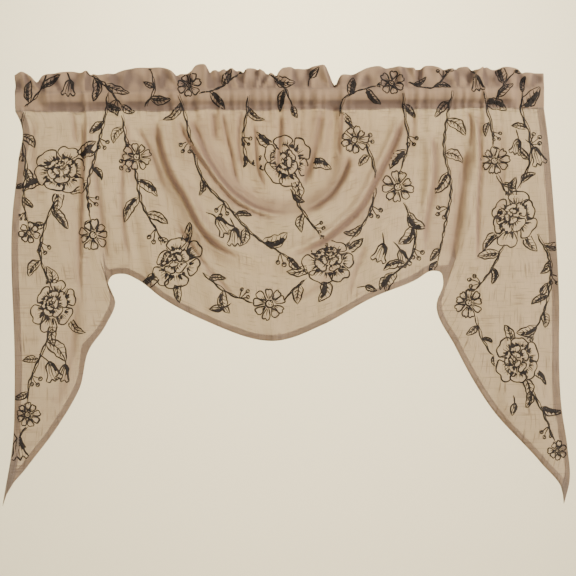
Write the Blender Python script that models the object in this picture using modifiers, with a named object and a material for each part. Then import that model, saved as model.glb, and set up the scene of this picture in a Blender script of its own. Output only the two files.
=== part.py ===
"""Swag and tail drape, hanging from the rod that its pocket is gathered on.

One piece of sheer cloth: a ruffled heading above the rod, the rod pocket, a swag in the middle
and a long pointed tail at each side. It is one solid, because the heading and pocket are the same
cloth folded over to the back. The rod is a plain straight tube blank.

Metres, +Z up, front towards -Y. The rod's axis is the X axis, and the origin is the middle of
the rod. Sizes below are in millimetres.
"""

import math

import bmesh
import bpy
import numpy as np

MM = 0.001

# Rod
ROD_DIAMETER = 25.0
ROD_LENGTH = 960.0          # its ends lie inside the pocket
ROD_SIDES = 40
ROD_EDGE_ROUNDING = 0.8

# Cloth
CLOTH_THICKNESS = 1.2
LAYER_GAP = 3.0             # middle of the front layer to middle of the back layer, in the heading
SEAM_GAP = 2.0              # the same, at the seam under the pocket
CLOTH_LEFT = -555.0
CLOTH_RIGHT = 557.0
HEADING_SEAM = 14.5         # height of the seam between heading and pocket
POCKET_SEAM = -32.0         # height of the seam under the pocket
POCKET_RADIUS = 15.6        # how far the pocket stands from the rod's axis
POCKET_FLAT = 3.0           # the same past the rod's ends, where the pocket is empty
POCKET_CLOSES = (10, 36)    # how far past a rod's end the pocket starts and ends to flatten
COLUMN_PITCH = 27.0         # pace between columns: along the rod, plus a part of the lower edge
EDGE_SHARE = 0.25
BODY_ROWS = 24
SIDE_REACH = 120.0          # how far in from a side edge its curve is felt

# Lower edge, from the left tail's point to the right one: where a thread starts along the rod,
# and where it ends at the lower edge. A thread with hang 1 runs straight there; with more, it
# hangs straight down for longer before it turns.
#                      along rod  edge x  edge z  hang
LOWER_EDGE = (
    ("left point",          -555,   -587,   -860,   1.0),
    ("left strand",         -546,   -577,   -832,   1.0),
    ("left tail, low",      -530,   -537,   -780,   1.5),
    ("left tail, middle",   -506,   -468,   -690,   2.0),
    ("left tail, upper",    -475,   -425,   -615,   3.0),
    ("left tail, step",     -440,   -404,   -535,   3.0),
    ("left tail, slope",    -415,   -368,   -482,   4.0),
    ("left bulge",          -400,   -347,   -430,   5.0),
    ("left arch, side",     -388,   -363,   -398,   3.0),
    ("left arch, corner",   -377,   -356,   -380,   2.0),
    ("left arch, top",      -357,   -328,   -374,   1.0),
    ("left arch, end",      -332,   -300,   -385,   1.0),
    ("swag, left",          -290,   -245,   -425,   1.0),
    ("swag, left low",      -205,   -143,   -478,   1.0),
    ("swag, lowest",        -30,    -12,    -515,   1.0),
    ("swag, right low",     120,    88,     -482,   1.0),
    ("swag, right",         235,    195,    -425,   1.0),
    ("swag, end",           308,    282,    -391,   1.0),
    ("right arch, top",     345,    318,    -372,   1.0),
    ("right arch, corner",  368,    338,    -377,   2.0),
    ("right arch, side",    382,    342,    -398,   3.0),
    ("right hollow",        396,    327,    -442,   4.0),
    ("right tail, upper",   424,    366,    -530,   3.0),
    ("right tail, middle",  466,    441,    -660,   2.0),
    ("right tail, low",     512,    546,    -778,   1.5),
    ("right strand",        542,    590,    -835,   1.0),
    ("right point",         557,    593,    -863,   1.0),
)

# Side edges, from the pocket's seam down.
#    height   x
LEFT_SIDE = (
    (-32,   -555),
    (-65,   -541),
    (-140,  -550),
    (-220,  -560),
    (-640,  -561),
    (-740,  -567),
    (-860,  -587),
)
RIGHT_SIDE = (
    (-32,   557),
    (-90,   565),
    (-230,  575),
    (-425,  586),
    (-670,  590),
    (-745,  601),
    (-820,  605),
    (-863,  593),
)

# Top of the heading's ruffle.
#    along rod  height
HEADING_TOP = (
    (-555,  45),
    (-535,  50),
    (-512,  34),
    (-485,  46),
    (-415,  50),
    (-380,  42),
    (-300,  55),
    (-215,  47),
    (-165,  58),
    (-100,  51),
    (-5,    42),
    (20,    53),
    (98,    56),
    (116,   20),
    (132,   38),
    (215,   54),
    (325,   55),
    (410,   47),
    (480,   51),
    (557,   41),
)

# Gathers on the rod: each stands out from it, and runs on below the pocket for its reach.
# A negative rise is a gather that turns in.
#    along rod  half width  rise  reach
GATHERS = (
    (-500,  20,     4,      45),
    (-405,  16,     5,      90),
    (-330,  18,     6,      120),
    (-215,  17,     7,      80),
    (-165,  15,     8,      60),
    (-110,  15,     6,      60),
    (-62,   15,     6,      70),
    (-18,   15,     5,      60),
    (30,    16,     7,      80),
    (78,    16,     8,      100),
    (118,   14,     -7,     110),
    (152,   16,     6,      110),
    (265,   16,     6,      70),
    (308,   16,     6,      80),
    (376,   17,     6,      100),
    (424,   17,     6,      110),
    (488,   20,     3,      50),
)

# How far the cloth stands forward of the rod's axis down the middle of the swag.
#    height   forward
SWAG_BELLY = (
    (-32,   1),
    (-110,  4),
    (-190,  14),
    (-260,  36),
    (-350,  48),
    (-430,  44),
    (-520,  32),
)
SWAG_HALF_WIDTH = 290.0

# Main folds. A rise is how far the ridge stands forward. Roll tips it over a hollow, as a cowl's
# rim tips: a positive roll sets the ridge on the right of someone who walks down the route, seen
# from the front, and a negative roll sets it on the left. Routes run from the rod down, or across.
#    name, rise, half width, roll, route of (x, z)
FOLDS = (
    ("cowl rim", 19, 30, 0.9, ((-212, -45), (-188, -102), (-152, -145), (-100, -208), (-35, -246),
                               (20, -252), (80, -232), (122, -190), (146, -130))),
    ("lower cowl", 16, 28, -0.7, ((-262, -45), (-243, -140), (-202, -214), (-150, -300),
                                  (-72, -345), (5, -352), (84, -322), (150, -262), (204, -180),
                                  (250, -84), (268, -40))),
    ("right sweep", 10, 25, 0.5, ((284, -48), (240, -150), (188, -262), (130, -325), (60, -380))),
    ("left sweep", 7, 25, 0.4, ((-222, -240), (-170, -315), (-122, -382), (-80, -435))),
    ("centre pleat", 7, 20, 0.0, ((92, -42), (76, -110), (45, -182))),
    ("left inner drop", 9, 17, -0.6, ((-314, -60), (-328, -190), (-322, -285), (-298, -385))),
    ("left middle drop", 7, 16, 0.4, ((-402, -90), (-386, -195), (-372, -375))),
    ("left outer drop", 6, 16, 0.3, ((-420, -40), (-419, -230), (-414, -500))),
    ("right inner drop", 9, 17, 0.6, ((328, -85), (316, -190), (299, -372))),
    ("right middle drop", 9, 17, -0.4, ((401, -45), (386, -165), (354, -388))),
    ("right outer drop", 6, 16, -0.3, ((421, -40), (425, -130), (415, -345))),
    ("left tail wave", 8, 30, 0.3, ((-498, -300), (-508, -520), (-538, -740))),
    ("left tail turn", 8, 26, -0.4, ((-384, -420), (-436, -560), (-500, -710))),
    ("right tail wave", 9, 32, -0.3, ((508, -300), (522, -540), (574, -760))),
    ("right tail turn", 8, 26, 0.4, ((352, -430), (424, -580), (516, -735))),
)


def smooth_path(rows, count):
    """Evenly spaced points on a smooth curve through the rows' numbers."""
    knots = np.array(rows, dtype=float)
    steps = np.linalg.norm(np.diff(knots, axis=0), axis=1)
    travelled = np.concatenate(([0.0], np.cumsum(steps)))
    slopes = np.gradient(knots, travelled, axis=0)
    wanted = np.linspace(0.0, travelled[-1], count)
    span = np.clip(np.searchsorted(travelled, wanted, side="right") - 1, 0, len(steps) - 1)
    length = steps[span][:, None]
    q = (wanted - travelled[span])[:, None] / length
    return (
        (2 * q**3 - 3 * q**2 + 1) * knots[span]
        + (q**3 - 2 * q**2 + q) * length * slopes[span]
        + (3 * q**2 - 2 * q**3) * knots[span + 1]
        + (q**3 - q**2) * length * slopes[span + 1]
    )


def read_smooth(rows, position):
    """The second column of a table at a place in its first column, on a smooth curve."""
    curve = smooth_path(rows, 400)
    order = np.argsort(curve[:, 0])
    return np.interp(position, curve[order, 0], curve[order, 1])


def bump(q):
    """A rounded ridge, 1 high, at q = 0."""
    return np.exp(-q * q)


def tip(q):
    """A ridge at q = 1 beside a hollow at q = -1."""
    return q * np.exp((1.0 - q * q) / 2.0)


def ease(q):
    """A soft start: 0 at q = 0 and 1 from q = 1 on."""
    q = np.clip(q, 0.0, 1.0)
    return q * q * (3.0 - 2.0 * q)


def across_route(route, x, z):
    """Distance from a fold's route, positive on its walker's right, and how far along it."""
    line = smooth_path(route, 80)
    heading = np.gradient(line, axis=0)
    heading /= np.linalg.norm(heading, axis=1)[:, None]
    to_x = x[..., None] - line[:, 0]
    to_z = z[..., None] - line[:, 1]
    away = np.hypot(to_x, to_z)
    nearest = np.argmin(away, axis=-1)[..., None]
    side = heading[:, 1] * to_x - heading[:, 0] * to_z
    side = np.take_along_axis(side, nearest, axis=-1)[..., 0]
    away = np.take_along_axis(away, nearest, axis=-1)[..., 0]
    return np.sign(side) * away, nearest[..., 0] / (len(line) - 1)


def gather_rise(along, below_seam):
    """How far the gathers stand forward, fading below the pocket's seam."""
    total = np.zeros_like(along)
    for middle, half_width, rise, reach in GATHERS:
        fade = bump(below_seam / reach)
        total += rise * bump((along - middle) / half_width) * fade
    return total


def fold_rise(x, z):
    """How far the main folds stand forward at a place in the front view."""
    total = np.zeros_like(x)
    for _name, rise, half_width, roll, route in FOLDS:
        across, along = across_route(route, x, z)
        q = across / half_width
        taper = ease(along / 0.15) * ease((1.0 - along) / 0.15)
        total += rise * taper * ((1.0 - 0.5 * abs(roll)) * bump(q) + 0.6 * roll * tip(q))
    return total


def thread_ends():
    """Where each column of the cloth starts on the rod and ends at the lower edge.

    Every row of the table is a column, and the spans between them are shared out evenly.
    """
    rows = [row[1:] for row in LOWER_EDGE]
    fine = smooth_path(rows, 3000)
    change = np.abs(np.diff(fine, axis=0))
    pace = change[:, 0] + EDGE_SHARE * np.hypot(change[:, 1], change[:, 2])
    travelled = np.concatenate(([0.0], np.cumsum(pace)))
    stops = [travelled[np.argmin(np.linalg.norm(fine - row, axis=1))] for row in rows]
    wanted = [stops[0]]
    for this, following in zip(stops, stops[1:]):
        share = max(1, round((following - this) / COLUMN_PITCH))
        wanted += list(np.linspace(this, following, share + 1)[1:])
    return [np.interp(wanted, travelled, fine[:, column]) for column in range(4)]


def body_rows(start, edge_x, edge_z, hang):
    """The swag and tails, row by row from the pocket's seam to the lower edge."""
    down = np.linspace(0.0, 1.0, BODY_ROWS + 1)[:, None]
    x = start + (edge_x - start) * down**hang
    z = POCKET_SEAM + (edge_z - POCKET_SEAM) * down
    for side, side_x, point in ((LEFT_SIDE, CLOTH_LEFT, 0), (RIGHT_SIDE, CLOTH_RIGHT, -1)):
        straight = x[:, point][:, None]
        curved = read_smooth(side, z[:, point])[:, None]
        x = x + (curved - straight) * bump((start - side_x) / SIDE_REACH)

    across_swag = np.exp(-((x / SWAG_HALF_WIDTH) ** 4))
    forward = read_smooth(SWAG_BELLY, z) * across_swag + SEAM_GAP / 2
    forward += fold_rise(x, z) + gather_rise(start + 0.0 * x, POCKET_SEAM - z)
    return x, -forward, z


def heading_rows(start):
    """The back of the pocket, the heading and the front of the pocket, from seam to seam."""
    top = read_smooth(HEADING_TOP, start)
    wave = 2.0 - gather_rise(start, 0.0)
    stand_off = np.maximum(gather_rise(start, 0.0), 0.0)
    back_off = 0.5 * np.maximum(gather_rise(start + 20.0, 0.0), 0.0)
    high, low = math.radians(40.0), math.radians(-50.0)
    closes_at, closed_at = POCKET_CLOSES
    past_rod = np.abs(start) - ROD_LENGTH / 2 - closes_at
    filled = 1.0 - ease(past_rod / (closed_at - closes_at))

    def around(angle, extra, side):
        """A point of the pocket beside the rod: side is -1 in front and +1 behind."""
        reach = (POCKET_RADIUS + extra) * math.cos(angle)
        reach = POCKET_FLAT + (reach - POCKET_FLAT) * filled
        return side * reach, POCKET_RADIUS * math.sin(angle) + 0.0 * start

    seam_wave = -gather_rise(start, 0.0)
    rows = [(seam_wave + SEAM_GAP / 2, POCKET_SEAM + 0.0 * start)]
    rows += [around(angle, back_off, 1) for angle in (low, 0.0, high)]
    for side in (1, -1):
        heights = [
            (0.15 * wave, HEADING_SEAM + 0.0 * start),
            (0.7 * wave, (HEADING_SEAM + top) / 2),
            (wave, top),
        ]
        for shift, height in heights[::side]:
            rows.append((shift + side * LAYER_GAP / 2, height))
    rows += [around(angle, stand_off, -1) for angle in (high, 0.0, low)]
    y = np.array([row[0] for row in rows])
    z = np.array([row[1] for row in rows])
    return start + 0.0 * y, y, z


def make_material(name, colour, roughness, metallic=0.0):
    material = bpy.data.materials.new(name)
    material.use_nodes = True
    shader = material.node_tree.nodes["Principled BSDF"]
    shader.inputs["Base Color"].default_value = (*colour, 1.0)
    shader.inputs["Roughness"].default_value = roughness
    shader.inputs["Metallic"].default_value = metallic
    return material


def make_cloth(parts):
    """The drape: a grid bent over the rod and into its folds, with the cloth's thickness."""
    start, edge_x, edge_z, hang = thread_ends()
    x, y, z = (
        np.vstack((above, below))
        for above, below in zip(heading_rows(start), body_rows(start, edge_x, edge_z, hang))
    )
    steps_down, steps_across = x.shape[0] - 1, x.shape[1] - 1

    mesh = bpy.data.meshes.new("cloth")
    grid = bmesh.new()
    bmesh.ops.create_grid(grid, x_segments=steps_across, y_segments=steps_down, size=1.0)
    for vertex in grid.verts:
        column = round((vertex.co.x + 1.0) / 2.0 * steps_across)
        row = round((1.0 - vertex.co.y) / 2.0 * steps_down)
        vertex.co = (x[row, column] * MM, y[row, column] * MM, z[row, column] * MM)
    # Each half is cut along the way its side of the swag's folds runs.
    left = [face for face in grid.faces if face.calc_center_median().x < 0.0]
    right = [face for face in grid.faces if face.calc_center_median().x >= 0.0]
    bmesh.ops.triangulate(grid, faces=left, quad_method="ALTERNATE")
    bmesh.ops.triangulate(grid, faces=right, quad_method="FIXED")
    grid.to_mesh(mesh)
    grid.free()
    mesh.shade_smooth()

    cloth = bpy.data.objects.new("cloth", mesh)
    parts.objects.link(cloth)
    thickness = cloth.modifiers.new("thickness", "SOLIDIFY")
    thickness.thickness = CLOTH_THICKNESS * MM
    thickness.offset = 0.0
    cloth.data.materials.append(make_material("taupe_sheer", (0.52, 0.44, 0.36), 0.85))
    return cloth


def make_rod(parts):
    """The rod: a plain cylinder with softened rims, shorter than the pocket that hides it."""
    bpy.ops.mesh.primitive_cylinder_add(
        vertices=ROD_SIDES,
        radius=ROD_DIAMETER / 2 * MM,
        depth=ROD_LENGTH * MM,
        location=(0.0, 0.0, 0.0),
        rotation=(0.0, math.radians(90.0), 0.0),
    )
    rod = bpy.context.object
    rod.name = "rod"
    for collection in rod.users_collection:
        collection.objects.unlink(rod)
    parts.objects.link(rod)
    rims = rod.modifiers.new("rims", "BEVEL")
    rims.width = ROD_EDGE_ROUNDING * MM
    rims.segments = 1
    rims.limit_method = "ANGLE"
    rims.angle_limit = math.radians(60.0)
    rod.data.materials.append(make_material("rod_white", (0.85, 0.84, 0.80), 0.4))
    return rod


for old in list(bpy.data.objects):
    bpy.data.objects.remove(old, do_unlink=True)

drape = bpy.data.collections.new("swag_and_tail_drape")
bpy.context.scene.collection.children.link(drape)
make_rod(drape)
make_cloth(drape)
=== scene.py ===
"""Swag and tail drape: the finish of the sheer cloth, its print, its stitching and its rod.

Metres, +Z up, front towards -Y. The middle of the rod is the origin. The cloth's own sizes are in
millimetres and reach the meshes through MM.
"""

import math
import random

import bpy
import numpy as np
from mathutils.bvhtree import BVHTree
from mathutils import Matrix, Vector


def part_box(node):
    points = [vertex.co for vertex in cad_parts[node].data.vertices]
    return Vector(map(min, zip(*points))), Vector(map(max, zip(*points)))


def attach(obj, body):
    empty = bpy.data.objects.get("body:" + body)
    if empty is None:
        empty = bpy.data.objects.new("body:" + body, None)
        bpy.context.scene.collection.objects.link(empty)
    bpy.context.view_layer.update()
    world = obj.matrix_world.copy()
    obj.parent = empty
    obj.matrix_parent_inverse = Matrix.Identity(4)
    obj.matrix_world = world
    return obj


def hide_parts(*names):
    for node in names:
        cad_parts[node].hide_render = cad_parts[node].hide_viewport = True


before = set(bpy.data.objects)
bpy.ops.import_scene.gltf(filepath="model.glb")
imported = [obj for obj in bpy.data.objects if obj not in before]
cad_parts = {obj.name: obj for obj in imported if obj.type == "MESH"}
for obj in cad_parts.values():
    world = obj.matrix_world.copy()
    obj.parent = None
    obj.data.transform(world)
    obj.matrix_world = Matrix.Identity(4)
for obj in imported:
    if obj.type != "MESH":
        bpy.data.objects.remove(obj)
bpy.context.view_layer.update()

MM = 0.001


# ---- Rod ---------------------------------------------------------------------------------------
# A plain straight rod of thin steel tube, painted satin white. It slides through the drape's
# pocket, and its two ends sit in brackets on the wall.

rod_low, rod_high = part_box("rod")
ROD_RADIUS = (rod_high[2] - rod_low[2]) / 2 / MM
ROD_END = rod_high[0] / MM


def set_up(node, settings):
    """Give a node its settings; a name that is one of its inputs sets that input."""
    for name, value in settings.items():
        if hasattr(node, name):
            setattr(node, name, value)
        else:
            node.inputs[name.replace("_", " ")].default_value = value
    return node


def new_material(name, **settings):
    """A material with nodes, its tree and its shader with the settings."""
    material = bpy.data.materials.new(name)
    material.use_nodes = True
    return material, material.node_tree, set_up(material.node_tree.nodes["Principled BSDF"], settings)


def add_node(tree, kind, **settings):
    """A new node with its settings."""
    return set_up(tree.nodes.new(kind), settings)


def join(tree, *wires):
    """Wires between nodes: each is a node, its output, the next node and its input."""
    for source, output, target, entry in wires:
        tree.links.new(source.outputs[output], target.inputs[entry])


def two_tone(tree, dark, light):
    """A ramp between two tones, each a place on the mask's range and a colour."""
    ramp = add_node(tree, "ShaderNodeValToRGB")
    for end, (position, colour) in zip(ramp.color_ramp.elements, (dark, light)):
        end.position = position
        end.color = (*colour, 1.0)
    return ramp


def add_relief(tree, shader, source, output, strength, depth):
    """Fine relief under the finish, from a node's output; its depth is in metres."""
    relief = add_node(tree, "ShaderNodeBump", Strength=strength, Distance=depth)
    join(tree, (source, output, relief, "Height"), (relief, "Normal", shader, "Normal"))


def mottled_finish(name, roughness, mottle, dark, light, grain, strength, depth):
    """Two tones in soft patches over a fine relief; mottle and grain are a noise's scale and detail."""
    material, tree, shader = new_material(name, Roughness=roughness)
    place = add_node(tree, "ShaderNodeTexCoord")
    patches = add_node(tree, "ShaderNodeTexNoise", Scale=mottle[0], Detail=mottle[1])
    pits = add_node(tree, "ShaderNodeTexNoise", Scale=grain[0], Detail=grain[1])
    tone = two_tone(tree, dark, light)
    join(
        tree,
        (place, "Object", patches, "Vector"),
        (place, "Object", pits, "Vector"),
        (patches, "Fac", tone, "Fac"),
        (tone, "Color", shader, "Base Color"),
    )
    add_relief(tree, shader, pits, "Fac", strength, depth)
    return material


# Satin white paint over steel: faint orange peel, and a little warmer where it has aged.
rod_paint = mottled_finish(
    "rod_white_paint",
    roughness=0.38,
    mottle=(9.0, 3.0),
    dark=(0.35, (0.80, 0.78, 0.72)),
    light=(0.65, (0.88, 0.87, 0.83)),
    grain=(900.0, 1.0),
    strength=0.15,
    depth=0.0002,
)
rod = bpy.data.objects["rod"]
rod.data.materials.clear()
rod.data.materials.append(rod_paint)


# ---- Drape cloth -------------------------------------------------------------------------------
# One piece of sheer slub-weave cloth. Its top is folded to the back and stitched twice, which
# makes the ruffle above the rod and the pocket round it; its sides and lower edge are hemmed.
# It is modelled as a grid of threads: columns start along the rod and run down to the lower edge.

CLOTH_THICKNESS = 0.45
LAYER_GAP = 3.0             # front layer to back layer in the ruffle
SEAM_GAP = 2.0              # the same, at the seam under the pocket
CREST_ROUND = 0.8           # how far the ruffle's folded top rises over its two layers
SIDE_HEM_WIDTH = 15.0
LOWER_HEM_WIDTH = 12.5
HEM_GAP = 0.7
HEADING_SEAM = 10.0         # the ruffle's seam lies on the front of the rod, a little below its top
SEAM_REACH = ROD_RADIUS + 2.3   # how far that seam lies from the rod's axis
SEAM_FORWARD = math.sqrt(SEAM_REACH**2 - HEADING_SEAM**2)
POCKET_SEAM = -32.0
POCKET_RADIUS = ROD_RADIUS + 1.7
POCKET_FLAT = 2.4           # the same past the rod's ends, where the pocket is empty
POCKET_CLOSES = (3.0, 24.0)  # how far past a rod's end the pocket starts and ends to flatten
CLOTH_LEFT = -555.0
CLOTH_RIGHT = 557.0
SIDE_REACH = 120.0
FULLNESS = 1.36             # flat width over the width it is gathered to

COLUMNS = 300
BODY_ROWS = 106
POCKET_ROWS = 12
RUFFLE_ROWS = 8
HEM_STEPS = 3
HEM_LINES = 24              # grid lines within which a hem's inner edge is looked for
ROUTE_STEPS = 90            # places looked at along a fold's route
CURVE_STEPS = 1200          # the same, along a table's smooth curve
EDGE_STEPS = 4000           # the same, along the lower edge

# Lower edge: where a thread starts along the rod and where it ends. A thread with hang 1 runs
# straight there; with more, it hangs straight down for longer before it turns.
#                      along rod  edge x  edge z  hang
LOWER_EDGE = (
    ("left point",          -555,   -587,   -860,   1.0),
    ("left strand",         -546,   -577,   -832,   1.0),
    ("left tail, low",      -530,   -537,   -780,   1.5),
    ("left tail, middle",   -506,   -468,   -690,   2.0),
    ("left tail, upper",    -475,   -425,   -615,   3.0),
    ("left tail, step",     -440,   -404,   -535,   3.0),
    ("left tail, slope",    -415,   -368,   -482,   4.0),
    ("left bulge",          -400,   -347,   -430,   5.0),
    ("left arch, side",     -388,   -363,   -398,   3.0),
    ("left arch, corner",   -377,   -356,   -380,   2.0),
    ("left arch, top",      -357,   -328,   -374,   1.0),
    ("left arch, end",      -332,   -300,   -385,   1.0),
    ("swag, left",          -290,   -245,   -425,   1.0),
    ("swag, left low",      -205,   -143,   -478,   1.0),
    ("swag, lowest",        -30,    -12,    -515,   1.0),
    ("swag, right low",     120,    88,     -482,   1.0),
    ("swag, right",         235,    195,    -425,   1.0),
    ("swag, end",           308,    282,    -391,   1.0),
    ("right arch, top",     345,    318,    -372,   1.0),
    ("right arch, corner",  368,    338,    -377,   2.0),
    ("right arch, side",    382,    342,    -398,   3.0),
    ("right hollow",        396,    327,    -442,   4.0),
    ("right tail, upper",   424,    366,    -530,   3.0),
    ("right tail, middle",  466,    441,    -660,   2.0),
    ("right tail, low",     512,    546,    -778,   1.5),
    ("right strand",        542,    590,    -835,   1.0),
    ("right point",         557,    593,    -863,   1.0),
)

#    height   x
LEFT_SIDE = (
    (-32,   -555),
    (-42,   -549),
    (-65,   -541),
    (-140,  -550),
    (-220,  -560),
    (-640,  -561),
    (-740,  -567),
    (-860,  -587),
)
RIGHT_SIDE = (
    (-32,   557),
    (-90,   565),
    (-230,  575),
    (-425,  586),
    (-670,  590),
    (-745,  601),
    (-820,  605),
    (-863,  593),
)

# Top of the ruffle.
#    along rod  height
HEADING_TOP = (
    (-555,  44),
    (-539,  50),
    (-522,  42),
    (-512,  34),
    (-495,  44),
    (-470,  47),
    (-430,  50),
    (-412,  47),
    (-400,  51),
    (-384,  43),
    (-352,  46),
    (-318,  54),
    (-272,  57),
    (-235,  54),
    (-222,  48),
    (-183,  48),
    (-174,  60),
    (-152,  60),
    (-146,  53),
    (-124,  50),
    (-100,  54),
    (-84,   50),
    (-46,   54),
    (-26,   46),
    (-3,    43),
    (8,     53),
    (22,    56),
    (52,    52),
    (78,    57),
    (97,    58),
    (106,   42),
    (117,   20),
    (127,   36),
    (158,   41),
    (188,   54),
    (212,   57),
    (230,   54),
    (255,   56),
    (288,   52),
    (322,   57),
    (346,   50),
    (380,   54),
    (402,   54),
    (414,   46),
    (430,   54),
    (450,   48),
    (474,   53),
    (498,   50),
    (514,   44),
    (557,   41),
)

# How far the ruffle's seam lies above or below its usual height.
#    along rod  change
SEAM_DRIFT = (
    (-555,  -3),
    (-430,  -4),
    (-300,  -2),
    (-150,  0),
    (557,   1),
)

# Pleats that fan out up the ruffle from its seam. Each has a soft side and a steep one: the steep
# side is on the right with steep 1 and on the left with -1. Its steep side ends in a notch.
#    foot    top     half width  rise   notch  steep
PLEATS = (
    (-528,   -540,   13,         4.5,   0,     1),
    (-494,   -520,   16,         5.0,   5,     1),
    (-452,   -462,   17,         3.0,   0,     -1),
    (-406,   -404,   12,         6.0,   7,     1),
    (-345,   -362,   22,         5.0,   2,     1),
    (-318,   -300,   20,         3.5,   0,     -1),
    (-250,   -252,   18,         3.5,   0,     1),
    (-199,   -226,   15,         6.0,   6,     1),
    (-180,   -184,   12,         5.0,   0,     -1),
    (-152,   -153,   11,         6.5,   7,     1),
    (-128,   -132,   9,          5.0,   3,     1),
    (-106,   -115,   9,          6.0,   4,     1),
    (-84,    -96,    8,          5.0,   3,     1),
    (-75,    -68,    9,          6.0,   5,     -1),
    (-49,    -39,    9,          5.5,   3,     -1),
    (-36,    -17,    10,         6.0,   5,     -1),
    (-8,     1,      10,         5.5,   6,     -1),
    (30,     24,     13,         3.5,   2,     1),
    (66,     70,     12,         4.0,   0,     -1),
    (110,    94,     12,         7.0,   0,     1),
    (118,    130,    11,         6.5,   4,     -1),
    (160,    168,    20,         4.0,   0,     -1),
    (212,    210,    18,         3.5,   2,     1),
    (262,    252,    14,         4.5,   0,     1),
    (292,    282,    9,          5.5,   4,     1),
    (294,    304,    10,         5.5,   4,     -1),
    (340,    336,    14,         3.5,   2,     1),
    (372,    362,    12,         4.5,   4,     1),
    (398,    414,    13,         6.5,   6,     -1),
    (431,    424,    9,          5.5,   3,     1),
    (462,    470,    17,         4.0,   0,     -1),
    (496,    500,    14,         4.0,   4,     1),
    (530,    528,    14,         3.0,   0,     1),
)

# Small slanting crumples of the ruffle's loose cloth.
#    pitch  lean   height  phase
CRUMPLES = (
    (61,    -38,   2.2,    0.6),
    (43,    30,    1.7,    2.9),
    (27,    -16,   1.0,    4.7),
    (19,    12,    0.4,    1.5),
)

# Gathers on the rod. Each stands out from it by its rise, runs up the ruffle leaning by its lean,
# and runs on below the pocket for its reach. A negative rise is a gather that turns in.
#    along rod  half width  rise  reach  lean
GATHERS = (
    (-512,  14,     3.5,    30,     -14),
    (-486,  9,      3.0,    55,     -6),
    (-447,  11,     2.0,    60,     4),
    (-405,  6,      5.5,    120,    3),
    (-393,  5,      2.5,    60,     6),
    (-343,  9,      3.5,    90,     -5),
    (-327,  8,      5.0,    130,    6),
    (-281,  10,     2.5,    60,     -8),
    (-243,  8,      3.0,    70,     4),
    (-219,  8,      6.0,    80,     -3),
    (-205,  6,      4.0,    60,     2),
    (-191,  7,      5.0,    70,     5),
    (-165,  10,     7.0,    60,     -2),
    (-150,  6,      3.5,    50,     6),
    (-121,  6,      5.0,    55,     -4),
    (-109,  5,      4.0,    45,     3),
    (-93,   6,      6.0,    75,     -5),
    (-80,   5,      4.5,    60,     2),
    (-69,   5,      5.5,    80,     4),
    (-48,   7,      5.0,    60,     -4),
    (-31,   6,      3.5,    50,     3),
    (-14,   6,      4.0,    50,     5),
    (12,    10,     7.5,    95,     -3),
    (34,    7,      4.0,    60,     6),
    (55,    7,      5.0,    70,     -4),
    (80,    9,      7.0,    120,    -6),
    (97,    5,      4.0,    70,     -2),
    (117,   9,      -8.0,   120,    0),
    (134,   7,      5.5,    120,    4),
    (150,   6,      3.0,    90,     6),
    (205,   10,     2.0,    60,     -4),
    (262,   7,      5.0,    80,     -5),
    (276,   5,      3.0,    50,     3),
    (293,   7,      5.0,    70,     3),
    (313,   5,      4.0,    60,     -3),
    (325,   6,      4.5,    80,     4),
    (356,   8,      3.0,    70,     -4),
    (374,   7,      4.5,    100,    3),
    (391,   6,      4.5,    90,     -3),
    (411,   10,     5.5,    150,    3),
    (430,   5,      6.0,    110,    4),
    (441,   5,      2.5,    50,     6),
    (486,   14,     2.5,    50,     -8),
    (520,   10,     2.0,    40,     4),
)

GATHER_SPREADS_UP = 0.7     # how much wider a gather is at the ruffle's top
GATHER_SPREADS_DOWN = 0.5   # and at the end of its reach below the pocket
BACK_GATHER_SHIFT = 17.0    # the back's gathers lie a little along from the front's

# How far the cloth stands forward of the rod's axis down the middle of the swag.
#    height   forward
SWAG_BELLY = (
    (-32,   1),
    (-110,  4),
    (-190,  14),
    (-260,  36),
    (-350,  48),
    (-430,  44),
    (-520,  32),
)
SWAG_HALF_WIDTH = 290.0

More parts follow.
